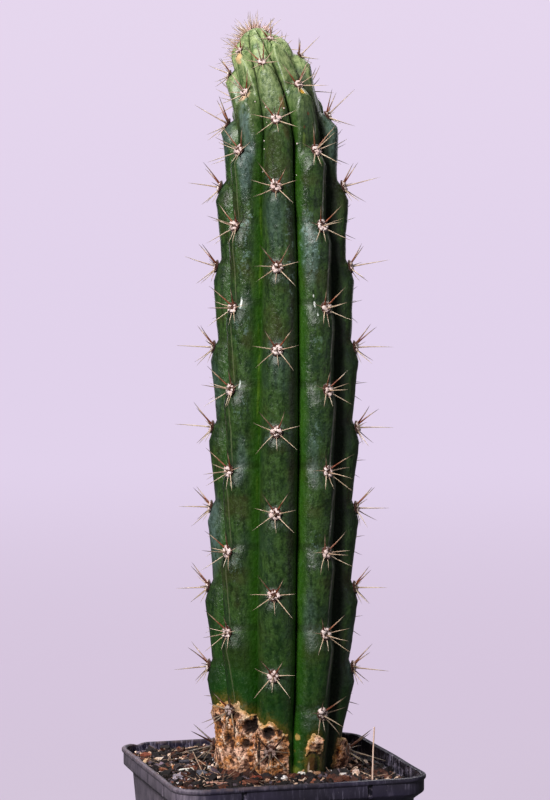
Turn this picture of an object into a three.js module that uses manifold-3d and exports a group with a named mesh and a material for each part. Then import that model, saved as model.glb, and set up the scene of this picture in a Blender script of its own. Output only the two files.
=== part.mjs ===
// A ribbed columnar cactus in a square nursery pot.
// Millimetres, +Z up, origin at the middle of the pot's base.
import * as THREE from "three";
import { mergeVertices } from "three/addons/utils/BufferGeometryUtils.js";
import Module from "manifold-3d";

// Driving dimensions
const pot = {
  side: 100, // over the rim bead
  height: 100,
  baseSide: 78,
  wall: 1.2,
  floor: 2.6,
  lipBand: 6.4, // straight band below the rim's top
  lipChamfer: 3.2, // height of the slope from the band in to the wall
  lipStand: 3.2, // how far the band stands proud of the wall
  beadStand: 0.6,
  beadHeight: 1.6,
  rimRadius: 12, // corner radius of the outline at the rim
  baseRadius: 9,
  baseBevel: 0.8,
  beadSlope: 0.3, // height of the small slope under the bead
  rimEase: 0.4, // chamfer along the rim's top edge
  innerRise: 0.5, // the slope's inner face runs this much above its outer one
  cornerSteps: 4,
};
const stackNotch = { fromMiddle: 23, width: 1.8, depth: 0.6, height: 5.4, belowBand: 0.6 };
const drain = {
  channelWidth: 20,
  channelDepth: 1.4,
  bossRadius: 11, // flat disc left standing where the channels cross
  holeRadius: 4,
  holeFromMiddle: [19, 31],
  holeSides: 16,
  bossSides: 24,
};
const clearance = { wall: 0.6, stem: 0.6, straw: 0.5 };
const beyond = 2; // how far a cut runs past the face it opens
const soil = {
  topHeight: 98.1, // beside the stem, at the front and left
  rightFall: 6.2, // drop towards the +X wall
  backFall: 1.5, // drop towards the +Y wall
  relief: 0.45,
  ringsAcross: 5,
  edgeStep: 0.3, // least height of the soil's uppermost band along the wall
  holeSteps: [-0.55, -1, -1.5, -2, -2.35], // the stem's hole, in half pitches from the lowest areoles
  roomSteps: [-1, -0.5, 0, 0.6],
};
// Bark and grit: octahedra with their middles just above the surface
const grain = {
  count: 60,
  size: [2, 5],
  core: 0.5,
  long: 1.25,
  wide: 0.8,
  flat: [0.35, 0.7],
  tilt: 0.7,
  lift: 0.1,
  fromStem: 28.5,
  fromStraw: 2,
  fromWall: 1,
};
const stem = {
  // crests, degrees from +X, alternating in phase
  ribAngles: [165.6, 206.6, 247.6, 289.6, 335.6, 24.6, 71.6, 118.6],
  firstAreole: 106.2, // height of the lowest areoles
  halfPitch: 15.46, // rise from an areole to those on the neighbouring ribs
  evenSpan: 13, // half pitches before the spacing starts to close up
  tipSpan: 8.95, // half pitches over which it closes up to the tip
  tipPower: 1.2,
  buriedSteps: [-2.35, -2, -1.5, -1, -0.5], // rings below the lowest areoles, in half pitches
  tipSteps: [19.6, 20.2, 20.8, 21.3], // rings above the last areoles
  lastAreole: 19,
};
// Along the stem, against half pitches from the lowest areoles
const crestRadius = [
  [-2.35, 12], [-2, 18.3], [-1, 24.3], [0, 26.1], [2, 27.9], [4, 28.3], [8, 28.1], [10, 27.2],
  [12, 25.6], [14, 23.4], [16, 20.1], [17, 17.6], [18, 14.2], [19, 10.8], [20, 7.2], [21, 3.6],
  [21.95, 0],
];
const ribDepth = [
  [-2.35, 0.5], [-1, 2.4], [0, 5], [2, 7.2], [12, 7], [15, 5.8], [17, 4.4], [19, 2.4], [21, 0.6],
  [21.95, 0],
];
const chinHeight = [
  [-2.35, 0], [-0.5, 0.3], [1, 1.2], [3, 1.6], [12, 1.6], [15, 1.6], [17, 1.3], [19, 0.6],
  [20, 0.2], [21.95, 0],
];
const sideways = [
  [-2.35, 3], [0, 3.1], [2, 4.1], [4, 4.4], [8, 5.3], [12, 5.3], [14, 4.5], [16, 4.2], [21.95, 4.2],
];
const sidewaysAngle = -16.4; // the stem stands a little off the pot's middle, this way
const lean = { angle: 147, from: 340, reach: 11.7, power: 1.4, mostTilt: 0.38 };
const tipHeight = 382.7;
const ribForm = { power: 2, roundness: 0.62, phasePower: 3 };
// A tubercle's outline up one pitch, from its areole: where, and how far out in chin heights
const tubercle = [[0, 0], [0.085, -0.85], [0.5, 0.1], [0.82, 1], [1, 0]];
const areolePad = 0.6;
const corkLump = { rib: 3, at: 0.15, out: 1.8, spread: 0.35, width: 0.5 };
const columnPlaces = [-1, -0.75, -0.4, 0, 0.4, 0.75]; // across one rib, from furrow to crest and on
const spine = {
  thickness: 0.9,
  sunk: 1.7,
  sides: 3,
  turnJitter: 6,
  lengthJitter: 0.12,
  youngest: 0.6, // length at the last areoles, as a part of the full length
  youngFrom: 16,
  aboveSoil: 3, // the lowest ones are bent up to clear the soil by this
};
// Spines of one areole: degrees off the outward normal, degrees round from straight up, length
const spineSet = [
  { off: 48, round: 37, length: 11 },
  { off: 48, round: -37, length: 11 },
  { off: 68, round: 76, length: 8.2 },
  { off: 68, round: -76, length: 8.2 },
  { off: 60, round: 134, length: 11 },
  { off: 60, round: -134, length: 11 },
  { off: 72, round: 180, length: 5.5 },
];
// The long one in the middle points down low on the stem and a little up near the tip:
// place, degrees up
const centralSpine = { length: 13.8, rise: [[0, -16], [4, -6], [12, -1], [16, 4]] };
const tipTuft = { count: 14, length: [4, 7], spread: [25, 62], ringRadius: 3 };
const straw = {
  x: 29.2,
  y: -38,
  radius: 0.45,
  height: 22.7,
  sunk: 12,
  bow: 0.7,
  taper: 0.25,
  steps: [0, 0.35, 0.7, 1],
  sides: 6,
  holeSides: 8,
};

const wasm = await Module();
wasm.setup();
const degrees = Math.PI / 180;
const weld = 1e-4;

// A repeatable draw between 0 and 1.
function draws(seed) {
  let state = seed;
  return () => {
    state = (state * 1664525 + 1013904223) % 4294967296;
    return state / 4294967296;
  };
}

// The value at t of a smooth line through [t, value] keys.
function along(keys, t) {
  const last = keys.length - 1;
  if (t <= keys[0][0]) return keys[0][1];
  if (t >= keys[last][0]) return keys[last][1];
  const i = keys.findIndex((key) => key[0] > t) - 1;
  const slope = (k) => {
    const a = keys[Math.max(k - 1, 0)];
    const b = keys[Math.min(k + 1, last)];
    return (b[1] - a[1]) / (b[0] - a[0]);
  };
  const span = keys[i + 1][0] - keys[i][0];
  const f = (t - keys[i][0]) / span;
  const g = 1 - f;
  return (
    keys[i][1] * g * g * (1 + 2 * f) +
    keys[i + 1][1] * f * f * (3 - 2 * f) +
    span * f * g * (slope(i) * g - slope(i + 1) * f)
  );
}

// The value at t of straight lines through [t, value] keys.
function straightAlong(keys, t) {
  const passed = keys.filter((key) => key[0] <= t).length;
  const i = Math.min(Math.max(passed - 1, 0), keys.length - 2);
  const f = (t - keys[i][0]) / (keys[i + 1][0] - keys[i][0]);
  return keys[i][1] + (keys[i + 1][1] - keys[i][1]) * f;
}

const smooth = (from, to, value) => THREE.MathUtils.smoothstep(value, from, to);

// Solids and booleans

function solidFrom(geometry) {
  const bare = new THREE.BufferGeometry().setAttribute("position", geometry.getAttribute("position"));
  const merged = mergeVertices(bare.setIndex(geometry.index), weld);
  return new wasm.Manifold(
    new wasm.Mesh({
      numProp: 3,
      vertProperties: merged.attributes.position.array,
      triVerts: new Uint32Array(merged.index.array),
    }),
  );
}

function geometryFrom(solid) {
  const mesh = solid.getMesh();
  const geometry = new THREE.BufferGeometry();
  geometry.setAttribute("position", new THREE.BufferAttribute(mesh.vertProperties, mesh.numProp));
  geometry.setIndex(new THREE.BufferAttribute(mesh.triVerts, 1));
  return geometry;
}

const joined = (solid, pieces) => pieces.reduce((sum, piece) => sum.add(piece), solid);
const cut = (solid, pieces) => pieces.reduce((rest, piece) => rest.subtract(piece), solid);

// A closed skin over rings of points, each anticlockwise from above, with a point at either end.
function loft(rings, start, end) {
  const points = [start, ...rings.flat(), end];
  const around = rings[0].length;
  const at = (ring, i) => 1 + ring * around + (i % around);
  const last = rings.length - 1;
  const faces = [];
  for (let i = 0; i < around; i++) {
    faces.push(0, at(0, i + 1), at(0, i));
    for (let ring = 0; ring < last; ring++) {
      faces.push(at(ring, i), at(ring, i + 1), at(ring + 1, i + 1));
      faces.push(at(ring, i), at(ring + 1, i + 1), at(ring + 1, i));
    }
    faces.push(points.length - 1, at(last, i), at(last, i + 1));
  }
  const geometry = new THREE.BufferGeometry().setFromPoints(points);
  geometry.setIndex(faces);
  return geometry;
}

// Pot

function roundedSquare(half, radius, z) {
  const ring = [];
  for (let corner = 0; corner < 4; corner++) {
    const middle = (45 + corner * 90) * degrees;
    const reach = (half - radius) * Math.SQRT2;
    for (let step = 0; step <= pot.cornerSteps; step++) {
      const angle = middle + (step / pot.cornerSteps - 0.5) * 90 * degrees;
      ring.push(
        new THREE.Vector3(
          reach * Math.cos(middle) + radius * Math.cos(angle),
          reach * Math.sin(middle) + radius * Math.sin(angle),
          z,
        ),
      );
    }
  }
  return ring;
}

const lipHalf = pot.side / 2 - pot.beadStand;
const wallTopHalf = lipHalf - pot.lipStand;
const ledgeHeight = pot.height - pot.lipBand - pot.lipChamfer;
const bandHeight = pot.height - pot.lipBand;
const innerLedge = ledgeHeight + pot.innerRise;
const innerBand = bandHeight + pot.innerRise;

// Half the side of the space inside the pot at a height.
const insideHalf = (z) =>
  straightAlong(
    [
      [0, pot.baseSide / 2 - pot.wall],
      [innerLedge, wallTopHalf - pot.wall],
      [innerBand, lipHalf - pot.wall],
      [pot.height, lipHalf - pot.wall],
    ],
    z,
  );
const cornerRadius = (z) => THREE.MathUtils.lerp(pot.baseRadius, pot.rimRadius, z / pot.height);

function makePot() {
  const baseHalf = pot.baseSide / 2;
  const outside = [
    [baseHalf - pot.baseBevel, 0],
    [baseHalf, pot.baseBevel],
    [wallTopHalf, ledgeHeight],
    [lipHalf, bandHeight],
    [lipHalf, pot.height - pot.beadHeight - pot.beadSlope],
    [lipHalf + pot.beadStand, pot.height - pot.beadHeight],
    [lipHalf + pot.beadStand, pot.height - pot.rimEase],
    [lipHalf + pot.beadStand - pot.rimEase, pot.height],
  ];
  const inside = [pot.height, innerBand, innerLedge, pot.floor];
  const rings = [
    ...outside.map(([half, z]) => roundedSquare(half, cornerRadius(z), z)),
    ...inside.map((z) => roundedSquare(insideHalf(z), cornerRadius(z) - pot.wall, z)),
  ];
  const shell = solidFrom(loft(rings, new THREE.Vector3(0, 0, 0), new THREE.Vector3(0, 0, pot.floor)));
  return cut(shell, [drainChannels(), ...drainHoles(), ...stackNotches()]);
}

// A cross of channels under the floor, round a disc that stays flat on the ground.
function drainChannels() {
  const reach = pot.baseSide + beyond;
  const depth = 2 * drain.channelDepth;
  const lengthways = new THREE.BoxGeometry(reach, drain.channelWidth, depth);
  const crossways = new THREE.BoxGeometry(drain.channelWidth, reach, depth);
  const radius = drain.bossRadius;
  const boss = new THREE.CylinderGeometry(radius, radius, depth + beyond, drain.bossSides);
  boss.rotateX(90 * degrees);
  return solidFrom(lengthways).add(solidFrom(crossways)).subtract(solidFrom(boss));
}

function drainHoles() {
  const holes = [];
  const depth = 2 * (pot.floor + beyond);
  for (let arm = 0; arm < 4; arm++) {
    for (const reach of drain.holeFromMiddle) {
      const hole = new THREE.CylinderGeometry(drain.holeRadius, drain.holeRadius, depth, drain.holeSides);
      hole.rotateX(90 * degrees);
      hole.translate(reach, 0, 0);
      hole.rotateZ(arm * 90 * degrees);
      holes.push(solidFrom(hole));
    }
  }
  return holes;
}

function stackNotches() {
  const notches = [];
  const middleHeight = bandHeight - stackNotch.belowBand + stackNotch.height / 2;
  for (let side = 0; side < 4; side++) {
    for (const hand of [-1, 1]) {
      const notch = new THREE.BoxGeometry(stackNotch.width, 2 * stackNotch.depth, stackNotch.height);
      notch.translate(hand * stackNotch.fromMiddle, lipHalf, middleHeight);
      notch.rotateZ(side * 90 * degrees);
      notches.push(solidFrom(notch));
    }
  }
  return notches;
}

// Stem

// The height of a place along the stem, given in half pitches.
function heightAt(s) {
  const closing = Math.min(Math.max(s - stem.evenSpan, 0), stem.tipSpan);
  const power = stem.tipPower + 1;
  const lost = (stem.tipSpan * (closing / stem.tipSpan) ** power) / power;
  const even = Math.min(s, stem.evenSpan);
  return stem.firstAreole + stem.halfPitch * (even + closing - lost);
}

// The stem's middle at a height, and how the rings there are tilted.
function axisAt(s) {
  const z = heightAt(s);
  const room = tipHeight - lean.from;
  const run = Math.max(z - lean.from, 0) / room;
  const shift = lean.reach * run ** lean.power;
  const tilt = lean.mostTilt * run;
  const aside = along(sideways, s);
  const leanX = Math.cos(lean.angle * degrees);
  const leanY = Math.sin(lean.angle * degrees);
  return {
    middle: new THREE.Vector3(
      aside * Math.cos(sidewaysAngle * degrees) + shift * leanX,
      aside * Math.sin(sidewaysAngle * degrees) + shift * leanY,
      z,
    ),
    tiltX: tilt * leanX,
    tiltY: tilt * leanY,
  };
}

// How far a rib's crest stands out at s, in millimetres from the crest radius.
function chinAt(rib, s) {
  const phase = rib % 2;
  const place = THREE.MathUtils.euclideanModulo(s - phase, 2) / 2;
  return along(chinHeight, s) * straightAlong(tubercle, place);
}

// A point of the stem's skin: rib number, place across it from -1 to 1, place along in half pitches,
// offset out.
function skinPoint(rib, across, s, out = 0) {
  const count = stem.ribAngles.length;
  const middle = stem.ribAngles[rib];
  const other = stem.ribAngles[(rib + (across < 0 ? count - 1 : 1)) % count];
  const gap = THREE.MathUtils.euclideanModulo(across < 0 ? middle - other : other - middle, 360);
  const angle = (middle + (across * gap) / 2) * degrees;
  const form = (1 - Math.abs(across) ** ribForm.power) ** ribForm.roundness;
  const fromLump = ((s - corkLump.at) / corkLump.spread) ** 2 + (across / corkLump.width) ** 2;
  const lump = rib === corkLump.rib ? corkLump.out * Math.exp(-fromLump) : 0;
  const skin = along(crestRadius, s) - along(ribDepth, s) * (1 - form) + chinAt(rib, s) * form;
  const radius = Math.max(skin + lump + out, 0);
  const { middle: centre, tiltX, tiltY } = axisAt(s);
  const x = radius * Math.cos(angle);
  const y = radius * Math.sin(angle);
  return new THREE.Vector3(centre.x + x, centre.y + y, centre.z - tiltX * x - tiltY * y);
}

// Rows lie close together above each areole; neighbouring ribs have theirs half a pitch apart.
const rowPlaces = [0, 0.17, 1, 1.64];
function rowPlace(row, phase) {
  const shifted = row - 2 * phase;
  const pitch = Math.floor(shifted / rowPlaces.length);
  return 2 * pitch + rowPlaces[shifted - pitch * rowPlaces.length] + phase;
}

// One ring of skin points. The furrows take the mean of the two phases.
function stemRing(placeOf, out = 0) {
  return stem.ribAngles.flatMap((_, rib) =>
    columnPlaces.map((across) => {
      const others = Math.abs(across) ** ribForm.phasePower / 2;
      const s = (1 - others) * placeOf(rib % 2) + others * placeOf(1 - (rib % 2));
      return skinPoint(rib, across, s, out);
    }),
  );
}

function makeStem() {
  const rows = Array.from({ length: 2 * stem.lastAreole + 1 }, (_, row) => row);
  const rings = [
    ...stem.buriedSteps.map((s) => stemRing(() => s)),
    ...rows.map((row) => stemRing((phase) => rowPlace(row, phase))),
    ...stem.tipSteps.map((s) => stemRing(() => s)),
  ];
  raisePads(rings, stem.buriedSteps.length);
  const start = axisAt(stem.buriedSteps[0]).middle;
  const end = axisAt(stem.evenSpan + stem.tipSpan).middle;
  return joined(solidFrom(loft(rings, start, end)), [wasm.Manifold.union(makeSpines())]);
}

// The crest point of each areole is drawn out a little as its felt pad.
function raisePads(rings, firstRow) {
  for (const { rib, s } of areoles()) {
    const ring = rings[firstRow + 2 * s];
    const index = rib * columnPlaces.length + columnPlaces.indexOf(0);
    ring[index].copy(skinPoint(rib, 0, s, areolePad));
  }
}

function areoles() {
  const list = [];
  stem.ribAngles.forEach((_, rib) => {
    for (let s = rib % 2; s <= stem.lastAreole; s += 2) list.push({ rib, s });
  });
  return list;
}

// A spine from its buried root, bent up if it would reach the soil. Its length is what stands out.
function makeSpine(root, direction, length) {
  const whole = length + spine.sunk;
  const steepest = (soil.topHeight + spine.aboveSoil - root.z) / whole;
  if (direction.z < steepest) {
    direction.setZ(0).setLength(Math.sqrt(1 - steepest * steepest)).setZ(steepest);
  }
  const cone = new THREE.ConeGeometry(spine.thickness / 2, whole, spine.sides);
  cone.translate(0, whole / 2, 0);
  cone.applyQuaternion(new THREE.Quaternion().setFromUnitVectors(new THREE.Vector3(0, 1, 0), direction));
  cone.translate(root.x, root.y, root.z);
  return solidFrom(cone);
}

function makeSpines() {
  const draw = draws(7);
  const jitter = () => (2 * draw() - 1) * spine.turnJitter;
  const made = [];
  for (const { rib, s } of areoles()) {
    const root = skinPoint(rib, 0, s, areolePad - spine.sunk);
    const up = skinPoint(rib, 0, s + 0.5).sub(skinPoint(rib, 0, s - 0.5)).normalize();
    const side = new THREE.Vector3().crossVectors(up, root.clone().sub(axisAt(s).middle)).normalize();
    const out = new THREE.Vector3().crossVectors(side, up).normalize();
    const age = THREE.MathUtils.lerp(1, spine.youngest, smooth(spine.youngFrom, stem.lastAreole, s));
    const central = { off: straightAlong(centralSpine.rise, s), round: 0, length: centralSpine.length };
    for (const { off, round, length } of [central, ...spineSet]) {
      const away = (off + jitter()) * degrees;
      const turn = (round + jitter()) * degrees;
      const direction = new THREE.Vector3()
        .addScaledVector(out, Math.cos(away))
        .addScaledVector(up, Math.sin(away) * Math.cos(turn))
        .addScaledVector(side, Math.sin(away) * Math.sin(turn))
        .normalize();
      const reach = length * age * (1 + (2 * draw() - 1) * spine.lengthJitter);
      made.push(makeSpine(root, direction, reach));
    }
  }
  return [...made, ...makeTipTuft(draw)];
}

// Short young spines round the growing point.
function makeTipTuft(draw) {
  const { middle, tiltX, tiltY } = axisAt(stem.evenSpan + stem.tipSpan);
  return Array.from({ length: tipTuft.count }, (_, i) => {
    const angle = (i + draw()) * (360 / tipTuft.count) * degrees;
    const off = THREE.MathUtils.lerp(...tipTuft.spread, draw()) * degrees;
    const direction = new THREE.Vector3(
      Math.cos(angle) * Math.sin(off) + tiltX,
      Math.sin(angle) * Math.sin(off) + tiltY,
      Math.cos(off),
    ).normalize();
    const root = middle.clone();
    root.x += Math.cos(angle) * tipTuft.ringRadius;
    root.y += Math.sin(angle) * tipTuft.ringRadius;
    root.z -= spine.sunk + tipTuft.ringRadius * (tiltX * Math.cos(angle) + tiltY * Math.sin(angle));
    return makeSpine(root, direction, THREE.MathUtils.lerp(...tipTuft.length, draw()));
  });
}

// Soil

function soilHeight(x, y) {
  return soil.topHeight - soil.rightFall * smooth(14, 46, x) - soil.backFall * smooth(-5, 45, y);
}

// Where a ray from the pot's middle, at an angle, meets a rounded square.
function squareRay(angle, half, radius) {
  const c = Math.abs(Math.cos(angle));
  const s = Math.abs(Math.sin(angle));
  const straight = half / Math.max(c, s);
  const core = half - radius;
  if (straight * Math.min(c, s) <= core) return straight;
  const toCorner = core * (c + s);
  return toCorner + Math.sqrt(toCorner ** 2 - 2 * core ** 2 + radius ** 2);
}

function makeSoil() {
  const hole = buriedRings();
  const around = hole[0].length;
  const draw = draws(23);
  const edgePoint = (i, z) => {
    const angle = Math.atan2(hole[0][i].y, hole[0][i].x);
    const half = insideHalf(z) - clearance.wall;
    const reach = squareRay(angle, half, cornerRadius(z) - pot.wall);
    return new THREE.Vector3(reach * Math.cos(angle), reach * Math.sin(angle), z);
  };
  const topEdge = Array.from({ length: around }, (_, i) => {
    const near = edgePoint(i, pot.height);
    return edgePoint(i, soilHeight(near.x, near.y));
  });
  const rings = [
    topEdge.map((_, i) => edgePoint(i, pot.floor + clearance.wall)),
    topEdge.map((_, i) => edgePoint(i, innerLedge)),
    topEdge.map((point, i) => edgePoint(i, Math.min(innerBand, point.z) - soil.edgeStep)),
    topEdge,
  ];
  for (let ring = 1; ring <= soil.ringsAcross; ring++) {
    const f = ring / (soil.ringsAcross + 1);
    rings.push(
      topEdge.map((point, i) => {
        const spot = point.clone().lerp(hole[0][i], f);
        spot.z = soilHeight(spot.x, spot.y) + (2 * draw() - 1) * soil.relief;
        return spot;
      }),
    );
  }
  rings.push(...hole);
  const bottom = new THREE.Vector3(0, 0, pot.floor + clearance.wall);
  const deepest = hole[hole.length - 1][0].z;
  const end = axisAt(stem.buriedSteps[0]).middle.setZ(deepest);
  const bed = joined(solidFrom(loft(rings, bottom, end)), [wasm.Manifold.union(makeGrains(draw))]);
  return cut(bed, [stemRoom(), strawHole()]);
}

// The stem's buried skin, a clearance further out, from the soil's surface down to its end.
function buriedRings() {
  const rings = soil.holeSteps.map((s) => stemRing(() => s, clearance.stem));
  rings[0].forEach((point) => (point.z = soilHeight(point.x, point.y)));
  rings[rings.length - 1].forEach((point) => (point.z -= clearance.stem));
  return rings;
}

// The space the stem takes above the soil's surface, so that no grain reaches into it.
function stemRoom() {
  const rings = soil.roomSteps.map((s) => stemRing(() => s, clearance.stem));
  const [lowest, highest] = [soil.roomSteps[0], soil.roomSteps[soil.roomSteps.length - 1]];
  return solidFrom(loft(rings, axisAt(lowest).middle, axisAt(highest).middle));
}

// Bark and grit that stand out of the surface.
function makeGrains(draw) {
  const grains = [];
  const most = insideHalf(ledgeHeight) - grain.fromWall;
  const foot = axisAt(0).middle;
  while (grains.length < grain.count) {
    const x = (2 * draw() - 1) * most;
    const y = (2 * draw() - 1) * most;
    const size = THREE.MathUtils.lerp(...grain.size, draw() ** 2);
    const turn = new THREE.Euler(draw() * grain.tilt, draw() * grain.tilt, draw() * Math.PI);
    const flat = THREE.MathUtils.lerp(...grain.flat, draw());
    const byStem = Math.hypot(x - foot.x, y - foot.y) < grain.fromStem + size;
    const byStraw = Math.hypot(x - straw.x, y - straw.y) < grain.fromStraw + size;
    const wallReach = squareRay(Math.atan2(y, x), most, pot.baseRadius);
    const byWall = Math.hypot(x, y) > wallReach - size;
    if (byStem || byStraw || byWall) continue;
    const lump = new THREE.OctahedronGeometry(size / 2 + grain.core);
    lump.scale(grain.long, grain.wide, flat);
    lump.applyQuaternion(new THREE.Quaternion().setFromEuler(turn));
    lump.translate(x, y, soilHeight(x, y) + grain.lift);
    grains.push(solidFrom(lump));
  }
  return grains;
}

function strawHole() {
  const radius = straw.radius + clearance.straw;
  const depth = straw.sunk + clearance.straw;
  const hole = new THREE.CylinderGeometry(radius, radius, depth + beyond, straw.holeSides);
  hole.rotateX(90 * degrees);
  hole.translate(straw.x, straw.y, soilHeight(straw.x, straw.y) + (beyond - depth) / 2);
  return solidFrom(hole);
}

// Straw: straight in its hole, a little bowed above it.
function makeStraw() {
  const ground = soilHeight(straw.x, straw.y);
  const ringAt = (rise, height) => {
    const radius = straw.radius * (1 - straw.taper * rise);
    return Array.from({ length: straw.sides }, (_, i) => {
      const angle = (i / straw.sides) * 360 * degrees;
      const x = straw.x + radius * Math.cos(angle) + straw.bow * rise * rise;
      return new THREE.Vector3(x, straw.y + radius * Math.sin(angle), ground + height);
    });
  };
  const standing = straw.steps.map((rise) => ringAt(rise, rise * straw.height));
  const rings = [ringAt(0, -straw.sunk), ...standing];
  const middleOf = (ring) =>
    ring.reduce((sum, point) => sum.add(point), new THREE.Vector3()).divideScalar(ring.length);
  return solidFrom(loft(rings, middleOf(rings[0]), middleOf(rings[rings.length - 1])));
}

function piece(name, solid, colour, roughness) {
  const material = new THREE.MeshStandardMaterial({ color: colour, roughness, metalness: 0 });
  const mesh = new THREE.Mesh(geometryFrom(solid), material);
  mesh.name = name;
  return mesh;
}

const pottedCactus = new THREE.Group();
pottedCactus.add(
  piece("pot", makePot(), 0x1d1e26, 0.5),
  piece("soil", makeSoil(), 0x3a261b, 0.95),
  piece("cactus_stem", makeStem(), 0x2f5a2b, 0.45),
  piece("straw", makeStraw(), 0xc9a184, 0.8),
);

export default pottedCactus;
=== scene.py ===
import math
import bpy
import numpy as np
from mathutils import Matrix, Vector, noise


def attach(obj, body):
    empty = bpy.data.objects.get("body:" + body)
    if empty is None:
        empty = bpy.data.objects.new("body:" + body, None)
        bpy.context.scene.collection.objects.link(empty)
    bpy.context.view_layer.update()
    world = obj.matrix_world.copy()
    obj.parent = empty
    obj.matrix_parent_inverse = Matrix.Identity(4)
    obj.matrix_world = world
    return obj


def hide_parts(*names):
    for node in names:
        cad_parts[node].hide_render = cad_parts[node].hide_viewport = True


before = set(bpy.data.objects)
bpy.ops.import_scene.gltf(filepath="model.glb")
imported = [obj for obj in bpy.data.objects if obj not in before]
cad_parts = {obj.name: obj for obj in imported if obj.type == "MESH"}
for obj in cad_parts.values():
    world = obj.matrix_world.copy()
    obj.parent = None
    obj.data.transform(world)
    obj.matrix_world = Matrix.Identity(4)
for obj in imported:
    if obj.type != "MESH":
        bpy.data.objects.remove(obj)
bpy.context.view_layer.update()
mm = 0.001
print("frame loaded:", ", ".join(sorted(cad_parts)))


# Small helpers for objects

def makeActive(obj, *others):
    bpy.ops.object.select_all(action="DESELECT")
    for each in (obj, *others):
        each.select_set(True)
    bpy.context.view_layer.objects.active = obj


def newest(name):
    obj = bpy.context.active_object
    obj.name = name
    obj.data.name = name
    return obj


def editAll(obj, *steps):  # edit mode steps, starting with everything in the mesh
    makeActive(obj)
    bpy.ops.object.mode_set(mode="EDIT")
    selectAll()
    for step in steps:
        step()
    bpy.ops.object.mode_set(mode="OBJECT")


def selectAll():
    bpy.ops.mesh.select_all(action="SELECT")


def edgeMode():
    bpy.ops.mesh.select_mode(type="EDGE")


def mergeSeams():
    bpy.ops.mesh.remove_doubles(threshold=1e-6)


def facesOut():
    bpy.ops.mesh.normals_make_consistent(inside=False)


def fillHoles():
    bpy.ops.mesh.fill_holes(sides=0)


def drawRing(extrude, rise, grow):  # the selected ring is drawn up and made wider
    extrude(TRANSFORM_OT_translate={"value": (0, 0, rise)})
    bpy.ops.transform.resize(value=(grow, grow, 1), center_override=(0, 0, 0))


def cutLevels(obj, heights):  # loops of edges round a mesh
    for height in heights:
        editAll(obj, lambda: bpy.ops.mesh.bisect(plane_co=(0, 0, height), plane_no=(0, 0, 1)))


def makeRod(name, sides, radius=1, depth=1, place=(0, 0, 0.5), ends="TRIFAN"):
    bpy.ops.mesh.primitive_cylinder_add(vertices=sides, radius=radius, depth=depth, location=place,
                                        end_fill_type=ends)
    bpy.ops.object.transform_apply(location=True)
    return newest(name)


def pointsOf(obj):
    points = np.empty(len(obj.data.vertices) * 3)
    obj.data.vertices.foreach_get("co", points)
    return points.reshape(-1, 3)


def setPoints(obj, points):
    obj.data.vertices.foreach_set("co", np.ascontiguousarray(points, dtype=np.float32).ravel())
    obj.data.update()


def setPointTone(obj, tones):  # a colour for each point: three numbers that a material reads
    layer = obj.data.attributes.new("tone", "FLOAT_COLOR", "POINT")
    full = np.ones((len(tones), 4), dtype=np.float32)
    full[:, :3] = tones
    layer.data.foreach_set("color", full.ravel())


def removeObject(obj):
    mesh = obj.data
    bpy.data.objects.remove(obj)
    bpy.data.meshes.remove(mesh)


def finishPiece(obj, material, smoothAngle, replaced=None):
    makeActive(obj)
    bpy.ops.object.transform_apply(location=True, rotation=True, scale=True)
    obj.data.materials.clear()
    obj.data.materials.append(material)
    bpy.ops.object.shade_smooth_by_angle(angle=math.radians(smoothAngle))
    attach(obj, "root")
    if replaced:
        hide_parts(replaced)
    print(obj.name, "done:", len(obj.data.polygons), "faces")


def copies(name, prototype, rows):
    # One mesh of many copies. A row holds, in millimetres, a copy's place and the three edges
    # that the prototype's x, y and z turn into, and then its bend and its tone.
    centres, frames, bends, tones = [np.array(column) for column in zip(*rows)]
    shape = pointsOf(prototype)
    faces = [list(face.vertices) for face in prototype.data.polygons]
    count = len(shape)
    points = (centres * mm)[:, None, :] + np.einsum("pk,nkj->npj", shape, frames * mm)
    points += (bends * mm)[:, None, :] * (shape[:, 2] ** 2)[None, :, None]
    allFaces = [[i + n * count for i in face] for n in range(len(centres)) for face in faces]
    mesh = bpy.data.meshes.new(name)
    mesh.from_pydata(points.reshape(-1, 3).tolist(), [], allFaces)
    obj = bpy.data.objects.new(name, mesh)
    bpy.context.collection.objects.link(obj)
    rise = np.tile(shape[:, 2], len(centres))
    setPointTone(obj, np.column_stack([rise, np.repeat(tones, count, axis=0)]))
    removeObject(prototype)
    return obj


# Small helpers for numbers

noBend = np.zeros(3)


def along(keys, places):
    # A smooth line through pairs of place and value.
    at, value = np.array(keys, dtype=float).T
    last = len(at) - 1
    low = np.maximum(np.arange(last + 1) - 1, 0)
    high = np.minimum(np.arange(last + 1) + 1, last)
    slope = (value[high] - value[low]) / (at[high] - at[low])
    t = np.clip(places, at[0], at[-1])
    i = np.clip(np.searchsorted(at, t, side="right") - 1, 0, last - 1)
    span = at[i + 1] - at[i]
    f = (t - at[i]) / span
    g = 1 - f
    lower = value[i] * g * g * (1 + 2 * f)
    upper = value[i + 1] * f * f * (3 - 2 * f)
    return lower + upper + span * f * g * (slope[i] * g - slope[i + 1] * f)


def smooth(start, end, value):  # 0 before start, 1 after end
    t = np.clip((value - start) / (end - start), 0, 1)
    return t * t * (3 - 2 * t)


def ripples(points, size, seed):  # Perlin noise at each point, for lumps of a size in millimetres
    return np.array([noise.noise(Vector(p) / size + Vector((seed, 2 * seed, -seed))) for p in points])


def addedRipples(points, layers):  # several at once, by height, size and seed
    return sum(height * ripples(points, size, seed) for height, size, seed in layers)


def granules(points, size):  # distance to the nearest of many scattered middles: 0 in a granule's middle
    return np.array([noise.voronoi(Vector(p) / size)[0][0] for p in points])


def unit(v):
    return v / np.linalg.norm(v)


def sidesOf(direction, hint):  # two directions square to this one
    aside = unit(np.cross(direction, hint))
    return aside, np.cross(direction, aside)


def clockwise(up, side, turn):
    return up * math.cos(turn) + side * math.sin(turn)


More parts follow.
